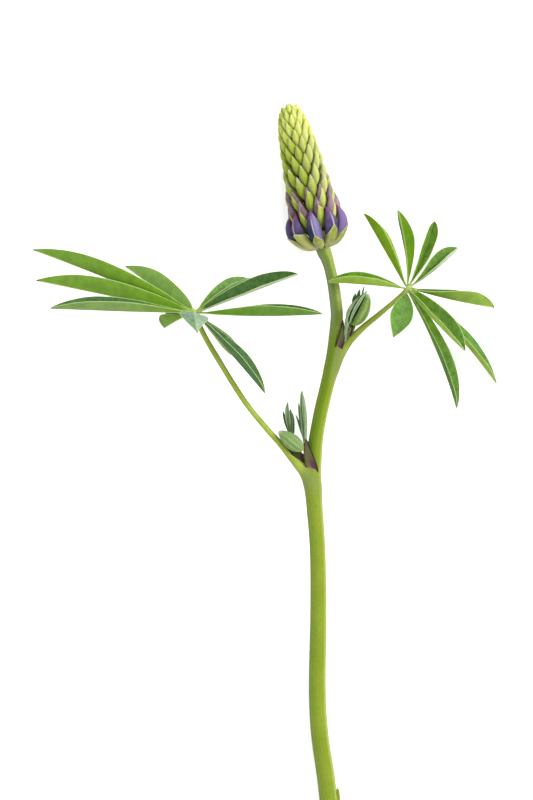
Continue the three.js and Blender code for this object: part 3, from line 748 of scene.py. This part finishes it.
def calyx_finish():
    """Calyx of buds and flowers: yellow green, cream at the foot, pale along its edge. Ripe is 0
    for the green buds and 1 for the flowers; light and shade are painted on by how far a bud faces the
    lamp."""
    f = Finish("calyx_skin", roughness=0.6, translucent=0.12)
    patches = f.noise(600, 3, 0.55)
    hairs = f.noise(3000, 2, 0.6)
    mottle = (patches, 0.36, 0.64)
    fresh = f.blend(mottle, (146, 162, 36), (164, 182, 58))
    fresh = f.blend(("along", 0.5, 0.95), fresh, (178, 188, 92))
    youngest = f.blend(mottle, (218, 228, 104), (236, 240, 148))
    old = f.blend(("along", 0.1, 0.4), (212, 206, 152), (158, 166, 64))
    old = f.blend(f.times((patches, 0.44, 0.6), 0.45), old, (112, 116, 48))
    f.colour = f.blend(("ripe", 0.0, -0.8), fresh, youngest)
    f.lay(old, 1, ("ripe", 0.6, 1.0))
    # painted light on the buds' side towards the lamp, painted shade on the far side of the youngest,
    # painted light on flower calyces turned away from the lamp
    f.lay((232, 234, 142), 0.7, ("sunny", -0.1, 0.75), ("ripe", -1.0, -0.6), ("ripe", 1.0, 0.8))
    f.lay((140, 156, 84), 0.4, ("sunny", -0.1, -0.8), ("ripe", -0.4, -0.9))
    f.lay((204, 208, 130), 0.55, ("sunny", -0.1, -0.6), ("ripe", 0.8, 1.0))
    f.lay((200, 206, 150), 0.25, (hairs, 0.5, 0.7))
    # painted shade greys each bud's left, painted light gives its right a lit yellow green; painted shade
    # down its flanks and at its foot; the pale edge of the calyx
    f.lay((168, 180, 118), 0.55, ("left", 0.1, 0.6), ("ripe", -0.8, 0.0))
    f.lay((152, 178, 34), 0.6, ("left", -0.1, -0.5), ("ripe", 0.9, 0.7))
    f.lay((96, 100, 42), 0.6, ("seam", 0.62, 0.98), ("ripe", -0.4, 0.4))
    f.lay((78, 80, 24), 1, ("along", 0.3, 0.08), ("ripe", -0.5, 0.1), ("ripe", 0.9, 0.6))
    keel = ("seam", 1.0, 0.7)
    f.lay((220, 220, 178), 0.85, ("from_edge", 0.3, 0.06), keel, ("ripe", 0.0, 0.2))
    f.bump(hairs, 0.05)
    return f.paint(f.colour)


def petal_finish():
    """Petals: blue at the base to violet, magenta at the tip, with a pale seam; still green or
    mauve where they show on the buds."""
    f = Finish("petal", roughness=0.5, translucent=0.15)
    patches = f.noise(380, 3, 0.5)
    blue = f.blend((patches, 0.4, 0.7), (44, 50, 74), (62, 66, 98))
    violet = f.blend((patches, 0.4, 0.7), (88, 68, 110), (112, 90, 136))
    turn = f.math("ADD", "along", f.times("pink", 0.3))
    f.colour = f.blend((turn, 0.62, 0.95), blue, violet)
    # painted light on the right of the bluest flowers, towards the lamp; a paler violet over all of the
    # pinkest; magenta at the tips
    fall = f.math("ADD", 0.5, f.times(("left", -0.85, -0.45), 0.5))
    f.lay((150, 138, 194), 0.8, ("left", -0.05, -0.25), ("pink", 0.38, 0.32), fall)
    f.lay((148, 126, 180), 0.6, ("pink", 0.85, 0.95))
    f.lay((146, 70, 134), 1, ("along", 0.8, 0.98), ("pink", 0.2, 0.6))
    dusky = f.blend((patches, 0.35, 0.65), (116, 90, 104), (150, 122, 134))
    mauve = f.blend(("along", 0.45, 0.85), (104, 80, 68), dusky)
    # painted light: mauve paler on buds that face the lamp
    mauve = f.blend(f.times(("sunny", 0.2, 0.9), 0.5), mauve, (196, 170, 178))
    green = f.blend(("along", 0.7, 0.97), (134, 140, 76), (214, 212, 178))
    unripe = f.blend(("ripe", 0.1, 0.5), green, mauve)
    f.colour = f.blend(("ripe", 0.65, 0.95), unripe, f.colour)
    f.lay((220, 212, 220), 0.75, ("seam", 0.12, 0.03), ("along", 0.95, 0.62))
    f.bump(patches, 0.08)
    return f.paint(f.colour)


def floor_finish():
    f = Finish("table_top", roughness=0.9, specular=0.1)
    return f.paint(f.blend(f.noise(6, 2), (0.86, 0.86, 0.86, 1), (0.88, 0.88, 0.88, 1)))


# ---- blanks, each modelled once ----

def blade_width(share):
    """Share of the full width of a leaflet, at a share of its length."""
    power = math.log(0.5) / math.log(BLADE_WIDEST)
    full = max(math.sin(math.pi * share**power), 0) ** BLADE_FULLNESS
    foot, tip = BLADE_LEAST
    return max(full, mix(foot, tip, share))


def blade_blank():
    """Flat leaflet: a sheet from x = 0 to 1, drawn in to its outline step by step."""
    sheet = start_piece(
        bpy.ops.mesh.primitive_grid_add, "blade_blank",
        x_subdivisions=BLADE_STEPS, y_subdivisions=8, size=2,
    )
    for row, goal in BLADE_ROWS.items():
        choose(sheet, "VERT", lambda v: abs(abs(v.co.y) - row) < ON_LINE)
        resize(goal / row, 1)
    choose(sheet, "VERT", lambda v: True)
    resize(1, 1, along=0.5, centre=(-1, 0, 0))
    bpy.ops.transform.translate(value=(1, 0, 0))
    for step in range(BLADE_STEPS + 1):
        share = step / BLADE_STEPS
        choose(sheet, "VERT", lambda v: abs(v.co.x - share) < ON_LINE)
        resize(blade_width(share), 1)
    close_edit()
    return sheet


def tube_blank(name, sides, rings):
    """Straight round bar from x = 0 to 1 with rings along it."""
    bar = start_piece(
        bpy.ops.mesh.primitive_cylinder_add, name,
        vertices=sides, radius=1, depth=1, location=(0.5, 0, 0), rotation=(0, math.pi / 2, 0),
    )
    choose(bar, "EDGE", lambda e: abs(e.verts[0].co.x - e.verts[1].co.x) > 0.5)
    bpy.ops.mesh.subdivide(number_cuts=rings - 1)
    close_edit()
    return bar


def bud_blank():
    """Closed bud from x = 0 to 1, z outwards: a small disc drawn out ring by ring to a tip."""
    (at, wide), *rest = BUD_OUTLINE
    bud = start_piece(
        bpy.ops.mesh.primitive_circle_add, "bud_blank",
        vertices=BUD_SIDES, radius=wide, fill_type="NGON", rotation=(0, math.pi / 2, 0),
    )
    bpy.ops.mesh.select_all(action="SELECT")
    for share, radius in rest:
        bpy.ops.mesh.extrude_region_move(TRANSFORM_OT_translate={"value": (share - at, 0, 0)})
        resize(radius / wide, radius / wide, centre=(share, 0, 0))
        at, wide = share, radius
    bpy.ops.mesh.merge(type="CENTER")
    # the outer side is drawn to a keel, the side against the spike is flatter
    choose(bud, "VERT", lambda v: v.co.z > 0 and abs(v.co.y) < ON_LINE)
    resize(1, BUD_KEEL)
    choose(bud, "EDGE", lambda e: all(v.co.z > 0 and abs(v.co.y) < ON_LINE for v in e.verts))
    bpy.ops.transform.edge_crease(value=KEEL_CREASE)
    choose(bud, "VERT", lambda v: v.co.z < -0.05)
    resize(1, BUD_BACK)
    bpy.ops.mesh.select_all(action="SELECT")
    bpy.ops.mesh.normals_make_consistent(inside=False)
    close_edit()
    return bud


def lip_edge(ripe):
    """Share of a bud's length that its calyx covers at the keel, and how much less at its sides."""
    return read_table(LIP_REACH, ripe), read_table(LIP_DROP, ripe)


def below_lip(place, reach, drop, skew):
    """How far a place on the bud lies under the slanting edge of the calyx."""
    drop *= skew if place.y < 0 else 1
    return reach - drop * (abs(place.y) + LIP_BACK * (BUD_KEEL - place.z)) - place.x


def lip_blank(bud, reach, drop, skew):
    """Calyx around the foot of a bud: its skin a little larger, cut off by two slanting planes
    that meet in a point on the keel."""
    lip = copy_of(bud, "lip_blank")
    select_only(lip)
    bpy.ops.object.mode_set(mode="EDIT")
    bpy.ops.mesh.select_all(action="SELECT")
    resize(LIP_ROOM, LIP_ROOM)
    for side, slant in ((1, drop), (-1, drop * skew)):
        bpy.ops.mesh.select_all(action="SELECT")
        bpy.ops.mesh.bisect(
            plane_co=(reach, 0, BUD_KEEL), plane_no=(1, side * slant, -LIP_BACK * slant),
            clear_outer=True,
        )
    close_edit()
    return lip


# ---- stem and stalks ----

def lay_tube(piece, route):
    """Lays a round bar along a route at its radius, and keeps what the skin needs to know."""
    spots = [v.co.copy() for v in piece.data.vertices]
    for vertex in piece.data.vertices:
        radius = route.at(vertex.co.x)[-1]
        vertex.co.y *= radius
        vertex.co.z *= radius
    lay_along(piece, route)
    mark(
        piece, along=[p.x for p in spots], run=[p.x * route.length / MM for p in spots],
        left=[p.y for p in spots], top=[p.z for p in spots],
    )


def nearest(route, place):
    """Closest point of a route's centre line to a place, and the radius there."""
    best = min(range(len(route.points)), key=lambda i: (route.points[i] - place).length_squared)
    spots = []
    for i in (best - 1, best):
        if 0 <= i < len(route.points) - 1:
            a, b = route.points[i], route.points[i + 1]
            t = min(max((place - a).dot(b - a) / (b - a).length_squared, 0), 1)
            spots.append((a.lerp(b, t), mix(route.extra[i], route.extra[i + 1], t)))
    return min(spots, key=lambda row: (row[0] - place).length_squared)


def draw_out(vertex, own, other, closest):
    """Moves one vertex of a skin out from its own line until it runs softly into the other."""
    soft = JOINT_SOFT * MM
    goal = min(closest * JOINT_SINK, 0)
    axis, _ = nearest(own, vertex.co)
    outwards = (vertex.co - axis).normalized()
    for _ in range(JOINT_ROUNDS):
        axis, thick = nearest(own, vertex.co)
        middle, radius = nearest(other, vertex.co)
        gap = (vertex.co - axis).length - thick
        far = (vertex.co - middle).length - radius
        near = max(soft - abs(gap - far), 0) / soft
        vertex.co += outwards * max(goal - min(gap, far) + near**2 * soft / 4, 0)


def grow_together(piece, own, others):
    """Draws the skin out where another stalk comes close, so the two run into each other."""
    soft = JOINT_SOFT * MM
    joint = []
    for vertex in piece.data.vertices:
        closest = 1.0
        for other in others:
            apart = min((vertex.co - point).length_squared for point in other.points[::8])
            if apart > (JOINT_SEARCH * MM) ** 2:
                continue
            middle, radius = nearest(other, vertex.co)
            closest = (vertex.co - middle).length - radius
            if -JOINT_DEEP * soft < closest < soft:
                draw_out(vertex, own, other, closest)
            break
        joint.append(min(max(1 - abs(closest) / (JOINT_FADE * MM), 0), 1))
    mark(piece, joint=joint)


def cut_end(stem):
    """The cut: a slightly sunken pith inside the rind."""
    select_only(stem)
    bpy.ops.object.mode_set(mode="EDIT")
    choose(stem, "FACE", lambda f: f.normal.x < -0.9)
    bpy.ops.mesh.inset(thickness=RIND)
    bpy.ops.mesh.inset(thickness=PITH_EDGE)
    bpy.ops.transform.translate(value=(PITH_SUNK, 0, 0))
    close_edit()
    for face in stem.data.polygons:
        face.material_index = 1 if face.normal.x < -0.9 and face.center.x < 0.01 else 0


def make_stem(blank, finish, pith, scale_finishes):
    lean = math.radians(SPIKE_LEAN)
    up_spike = Vector((-math.sin(lean), math.cos(lean), 0))
    base = Vector(SPIKE_BASE)
    rows = STEM_LINE + [(*(base + up_spike * height), radius) for height, radius in RACHIS]
    stem = tube_blank("main_stem_skin", sides=32, rings=270)
    dress(stem, finish, pith)
    cut_end(stem)
    route = Route.through(rows)
    lay_tube(stem, route)
    grow_together(stem, route, [Route.through(LEFT_PETIOLE), Route.through(RIGHT_PETIOLE)])
    select_only(stem)
    bpy.ops.object.shade_smooth_by_angle(angle=math.radians(50))
    line = Route.arc(*map(spot, FOOT_SCALE))
    scale = make_blade(blank, "foot_scale", line, FOOT_SCALE_SHAPE, scale_finishes, thick=0.3, wave=0)
    settle(join_as("main_stem_skin", [stem, scale]), "stem_green", "main_stem")


def make_petiole(name, rows, finish):
    """Leaf stalk with a flared foot and the small swollen hub its leaflets sit on."""
    end = Vector(rows[-1][:3])
    run = (end - Vector(rows[-2][:3])).normalized()
    hub = [(*(end + run * step), radius) for step, radius in HUB]
    stalk = tube_blank(name + "_skin", sides=16, rings=60)
    dress(stalk, finish)
    route = Route.through(rows[:-1] + [(*end, rows[-1][3] * HUB_FOOT)] + hub)
    lay_tube(stalk, route)
    smooth(stalk)
    grow_together(stalk, route, [Route.through(STEM_LINE)])
    settle(stalk, "stem_green", name)


# ---- leaves ----

def fold_blade(piece, row, length, wave=BLADE_WAVE):
    """Turns a flat blade's halves to the angles of its fold, each with a slight inward curl."""
    half = row["half"] * MM
    foot_fold, tip_fold = row["fold"], row.get("tip_fold", row["fold"])
    bow = math.radians(BLADE_CURL)
    notes = {name: [] for name in ("along", "run", "from_rib", "from_edge", "side")}
    side_tones = [rgb(*TONES[tone]) for tone in row.get("tones", ("leafy", "leafy"))]
    tones = []
    phase = chance.uniform(0, 6.28)
    for vertex in piece.data.vertices:
        share, across = vertex.co.x, vertex.co.y
        power = row.get("full", 1) if share < BLADE_WIDEST else row.get("point", 1)
        full = blade_width(share) ** power * half
        low, high = (math.radians(mix(a, b, share)) for a, b in zip(foot_fold, tip_fold))
        out = abs(across) / blade_width(share) * full
        inward, angle = (1, low) if across >= 0 else (-1, high)
        turn = inward * bow / full
        first = angle - inward * bow / 2
        left = (math.sin(first + turn * out) - math.sin(first)) / turn
        up = (math.cos(first) - math.cos(first + turn * out)) / turn
        ripple = math.sin(share * WAVE_COUNT + phase + inward) * wave * MM * (out / half) ** 2
        vertex.co.x = share ** row.get("lean", 1)
        vertex.co.y = left - math.sin(angle) * ripple
        vertex.co.z = up + math.cos(angle) * ripple
        notes["along"].append(share)
        notes["run"].append(share * length / MM)
        notes["from_rib"].append(out / MM)
        notes["from_edge"].append((full - out) / MM)
        notes["side"].append(math.copysign(out / half, across))
        tones += side_tones[0 if across > 0 else 1]
    mark(piece, glow=row.get("glow", 0.3), lush=row.get("lush", 0), rib=row.get("rib", 1), **notes)
    piece.data.attributes.new("tone", "FLOAT_COLOR", "POINT").data.foreach_set("color", tones)


def make_blade(blank, name, route, row, finishes, thick=BLADE_THICK, wave=BLADE_WAVE):
    """One leaflet: folded, laid along its line, then given its thickness."""
    blade = copy_of(blank, name)
    fold_blade(blade, row, route.length, wave)
    lay_along(blade, route)
    dress(blade, *finishes)
    apply_modifier(
        blade, "SOLIDIFY", thickness=thick * MM, offset=0, material_offset=1, material_offset_rim=2,
    )
    smooth(blade)
    return blade


def make_leaf(blank, side, hub, rows, ring, finishes):
    for i, row in enumerate(rows):
        start = hub + ring(i, math.radians(row["start"])) * MM
        route = Route.arc(start, hub + spot(row["mid"]), hub + spot(row["tip"]))
        if "across" in row:
            route.facing(row["across"])
        node = f"{side}_leaflet_{i + 1:02d}"
        settle(make_blade(blank, node + "_blade", route, row, finishes), "leaf_green", node)


def left_ring(_, turn):
    """Place of a leaflet's foot on the left hub, whose ring stands upright."""
    return Vector((math.sin(turn) * RING_RADIUS, LEFT_RING_FORWARD, math.cos(turn) * RING_RADIUS))


def right_ring(i, turn):
    """Place of a leaflet's foot on the right hub, whose ring lies flat."""
    return Vector((math.cos(turn) * RING_RADIUS, math.sin(turn) * RING_RADIUS, RIGHT_RING_LIFT[i]))


# ---- young growth in the axils ----

def make_stipules(blank, finish):
    for name, row in STIPULES.items():
        shape = dict(half=row["half"], fold=row["fold"], glow=row.get("shade", 0), **STIPULE_SHAPE)
        scale = make_blade(
            blank, name + "_scale", Route.arc(*map(spot, row["line"])), shape, (finish,) * 3,
            thick=0.25, wave=0,
        )
        settle(scale, "stipule_brown", name)


def young_cluster(blank, name, blades, finishes):
    """Folded young leaflets packed together."""
    made = []
    for i, (*line, half, fold, pale) in enumerate(blades):
        route = Route.arc(*map(spot, line))
        row = dict(half=half, fold=fold, glow=pale, lean=1.15)
        made.append(make_blade(blank, f"{name}_{i}", route, row, finishes, thick=0.28, wave=0.05))
    return join_as(name, made)


def axil_bud(bud, name, size, ridges, finish):
    """Ovoid of folded leaflets, its ridges running from foot to tip."""
    start, tip, wide, thick = size
    piece = copy_of(bud, name)
    smooth(piece, 2)
    spots = [v.co.copy() for v in piece.data.vertices]
    wave = [math.sin(ridges * math.atan2(p.z, p.y)) * math.sin(math.pi * p.x) for p in spots]
    mark(piece, along=[p.x for p in spots], ridge=wave)
    for vertex, height in zip(piece.data.vertices, wave):
        girth = max(math.hypot(vertex.co.y, vertex.co.z), 0.1) ** -0.3 * (1 + RIDGE_HEIGHT * height)
        vertex.co.y *= wide * MM * girth
        vertex.co.z *= thick * MM * girth
    start, tip = spot(start), spot(tip)
    lay_along(piece, Route.arc(start, (start + tip) / 2 + Vector((0, 0, AXIL_BUD_BOW)) * MM, tip))
    dress(piece, finish)
    return piece


def make_axils(blank, bud, finishes):
    lower = young_cluster(blank, "lower_young_leaf", LOWER_YOUNG_LEAF, finishes)
    settle(lower, "young_green", "lower_axil_leaf_left")
    folded = young_cluster(blank, "lower_folded_leaf", LOWER_FOLDED_LEAF, finishes)
    settle(folded, "young_green", "lower_axil_leaf_right")
    stalk = tube_blank("young_stalk", sides=12, rings=12)
    dress(stalk, young_stalk_finish())
    lay_tube(stalk, Route.through(YOUNG_STALK))
    smooth(stalk)
    upper = young_cluster(blank, "upper_young_leaf", UPPER_YOUNG_LEAF, finishes)
    green = bud_leaf_finish("green_bud", (108, 140, 50), (166, 186, 124), (120, 154, 36), (204, 210, 190))
    body = axil_bud(bud, "upper_leaf_body", UPPER_LEAF_BODY, 7, green)
    settle(join_as("upper_young_leaf", [upper, stalk, body]), "young_green", "upper_axil_leaf")
    pale = bud_leaf_finish("pale_bud", (118, 150, 82), (158, 184, 124), (162, 178, 40), (206, 200, 186))
    settle(axil_bud(bud, "lower_pale_bud", PALE_BUD, 9, pale), "young_green", "lower_axil_bud")
    dark = dark_bud_finish()
    buds = [axil_bud(bud, "dark_bud", size, 3, dark) for size in DARK_BUDS]
    settle(join_as("upper_dark_buds", buds), "young_green", "upper_axil_bud")


# ---- spike ----

def spike_turned(turn=0):
    """Turns a piece made with the spike's axis along +Z round that axis, and into place."""
    return (
        Matrix.Translation(spot(SPIKE_BASE))
        @ Matrix.Rotation(math.radians(SPIKE_LEAN), 4, "Z")
        @ Matrix.Rotation(math.radians(-90), 4, "X")
        @ Matrix.Rotation(math.radians(turn), 4, "Z")
    )


def lay_bud(blank, name, route, half, ripe, finish, place, pink=0.5, edge=None, girth=None):
    """A copy of a bud or of its calyx, laid along its line and moved to its place."""
    piece = copy_of(blank, name)
    spots = [v.co.copy() for v in piece.data.vertices]
    edge = edge or (*lip_edge(ripe), 1)
    # the last number kept says how far the bud faces the lamp, for the painted light and shade
    mark(
        piece, along=[p.x for p in spots], left=[p.y for p in spots],
        seam=[abs(p.y) if p.z > 0 else 1.0 for p in spots],
        from_edge=[below_lip(p, *edge) * route.length / MM for p in spots],
        ripe=ripe, pink=pink, sunny=(place.to_3x3() @ Vector((0, 1, 0))).x,
    )
    for vertex in piece.data.vertices:
        share = read_table(girth, vertex.co.x) if girth else 1
        vertex.co.y *= half[0] * share
        vertex.co.z *= half[1] * share
    lay_along(piece, route)
    piece.data.transform(place)
    dress(piece, finish)
    return piece


def bud_route(tip_height, length):
    """Line of a bud in the spike's frame: out from the axis, then up along the outline."""
    outline = [row[:2] for row in BUD_WHORLS]
    tip = Vector((0, read_table(outline, tip_height), tip_height))
    foot_height = tip_height - length * BUD_RISE
    foot = Vector((0, min(read_table(RACHIS, foot_height), tip.y - 0.5), foot_height))
    out, up = BUD_BOW
    middle = Vector((0, mix(foot.y, tip.y, out), mix(foot.z, tip.z, up)))
    return Route.arc(foot * MM, middle * MM, tip * MM).facing((1, 0, 0))


def make_whorl(bud, row, turn, finishes):
    """Nine buds around the axis; the riper ones show their petals above the calyx."""
    petal, calyx = finishes
    tip_height, _, length, width, ripe = row
    open_bud = ripe > OPEN_FROM
    edges = {skew: (*lip_edge(ripe), skew) for skew in (1, LIP_SKEW)}
    blanks = {skew: lip_blank(bud, *edge) for skew, edge in edges.items()} if open_bud else {}
    bodies, lips = [], []
    for i in range(PER_WHORL):
        angle = turn + 360 / PER_WHORL * i + chance.uniform(-TURN_PLAY, TURN_PLAY)
        place = spike_turned(angle)
        swell = width / 2 * MM * chance.uniform(*SIZE_PLAY)
        route = bud_route(tip_height + chance.uniform(-HEIGHT_PLAY, HEIGHT_PLAY), length)
        size = (swell, swell * BUD_DEPTH)
        bodies.append(lay_bud(bud, "bud", route, size, ripe, petal if open_bud else calyx, place))
        if open_bud:
            skew = LIP_SKEW if angle % 360 > LIP_TURN else 1
            edge = edges[skew]
            lips.append(lay_bud(blanks[skew], "lip", route, size, ripe, calyx, place, edge=edge))
    if open_bud:
        for blank in blanks.values():
            bpy.data.objects.remove(blank)
        calyces = join_as("calyces", lips)
        apply_modifier(calyces, "SOLIDIFY", thickness=LIP_THICK * MM, offset=-1)
        bodies.append(calyces)
    return bodies


def make_buds(bud, finishes):
    tip = []
    for i, row in enumerate(BUD_WHORLS):
        made = make_whorl(bud, row, FIRST_TURN + WHORL_TURN * (i + 1), finishes)
        if i < TIP_FROM:
            piece = join_as(f"whorl_{i + 2:02d}_buds", made)
            smooth(piece)
            settle(piece, "bud_green", f"bud_whorl_{i + 2:02d}")
        else:
            tip += made
    # the three youngest buds close the top
    crown = Route.arc(*(Vector((0, 0, up)) * MM for up in CROWN_HEIGHTS)).facing((1, 0, 0))
    size = (CROWN_HALF * MM, CROWN_HALF * MM)
    for turn in (0, 120, 240):
        place = spike_turned(turn) @ Matrix.Translation((0, CROWN_OUT * MM, 0))
        tip.append(lay_bud(bud, "crown", crown, size, -1.0, finishes[1], place))
    piece = join_as("spike_tip_buds", tip)
    smooth(piece)
    settle(piece, "tip_green", "spike_tip")


def make_flowers(bud, finishes):
    """The lowest whorl: petals folded to a keel, held in a pointed calyx."""
    petal, calyx = finishes
    route = Route.through([(0, out, up, 1.0) for up, out in FLOWER_LINE]).facing((1, 0, 0))
    half = [size * MM for size in FLOWER_HALF]
    for i, (pink, cover) in enumerate(zip(FLOWER_PINK, FLOWER_CALYX)):
        place = spike_turned(FIRST_TURN + 360 / PER_WHORL * i)
        name = f"flower_{i + 1}"
        edge = (*cover, 1)
        shape = dict(pink=pink, edge=edge, girth=FLOWER_GIRTH)
        petals = lay_bud(bud, name + "_petals_skin", route, half, 1.0, petal, place, **shape)
        smooth(petals, 2)
        settle(petals, "petal_purple", name + "_petals")
        lip = lip_blank(bud, *edge)
        cup = lay_bud(lip, name + "_calyx_skin", route, half, 1.0, calyx, place, **shape)
        bpy.data.objects.remove(lip)
        apply_modifier(cup, "SOLIDIFY", thickness=CALYX_THICK * MM, offset=-1)
        smooth(cup, 2)
        settle(cup, "calyx_green", name + "_calyx")


# ---- table, light and camera ----

def make_table(finish):
    table = start_piece(bpy.ops.mesh.primitive_plane_add, "table", size=TABLE_SIZE)
    bpy.ops.mesh.subdivide(number_cuts=3)
    close_edit()
    dress(table, finish)


def set_light():
    """White all round, and one soft lamp high on the right."""
    scene = bpy.context.scene
    scene.world = bpy.data.worlds.new("studio")
    scene.world.use_nodes = True
    background = scene.world.node_tree.nodes["Background"]
    background.inputs["Color"].default_value = (1, 1, 1, 1)
    background.inputs["Strength"].default_value = ROOM_LIGHT
    scene.view_settings.view_transform = "Standard"
    data = bpy.data.lights.new("key", "AREA")
    data.shape = "DISK"
    data.size = LAMP_SIZE
    data.energy = LAMP_POWER
    lamp = bpy.data.objects.new("key", data)
    scene.collection.objects.link(lamp)
    lamp.location = LAMP_PLACE
    lamp.rotation_euler = (Vector(LAMP_AIM) - lamp.location).to_track_quat("-Z", "Y").to_euler()
    lamp.visible_camera = False


def set_camera():
    """Straight above the spike and leaves, far off, with the spike at the top of the view."""
    data = bpy.data.cameras.new("camera")
    data.sensor_width = 36
    data.lens = CAMERA_LENS
    data.clip_end = 50
    camera = bpy.data.objects.new("camera", data)
    bpy.context.scene.collection.objects.link(camera)
    camera.location = CAMERA_PLACE
    bpy.context.scene.camera = camera


# ---- assembly ----

stem_skin = stem_finish()
stalk_skin = stalk_finish()
leaf_finishes = (leaf_upper_finish(), leaf_under_finish(), leaf_margin_finish())
young_upper = young_finish("young_upper", (50, 80, 40), (160, 184, 134))
young_under = young_finish("young_under", (68, 100, 50), (166, 188, 134))
spike_finishes = (petal_finish(), calyx_finish())

blade = blade_blank()
bud = bud_blank()
scale_skin = stipule_finish()
make_stem(blade, stem_skin, pith_finish(), (stem_skin, stem_skin, scale_skin))
make_petiole("left_petiole", LEFT_PETIOLE, stalk_skin)
make_petiole("right_petiole", RIGHT_PETIOLE, stalk_skin)
make_leaf(blade, "left", spot(LEFT_PETIOLE[-1]), LEFT_LEAFLETS, left_ring, leaf_finishes)
make_leaf(blade, "right", spot(RIGHT_PETIOLE[-1]), RIGHT_LEAFLETS, right_ring, leaf_finishes)
make_stipules(blade, scale_skin)
make_axils(blade, bud, (young_upper, young_under, young_under))
make_flowers(bud, spike_finishes)
make_buds(bud, spike_finishes)
bpy.data.objects.remove(blade)
bpy.data.objects.remove(bud)

make_table(floor_finish())
set_light()
set_camera()
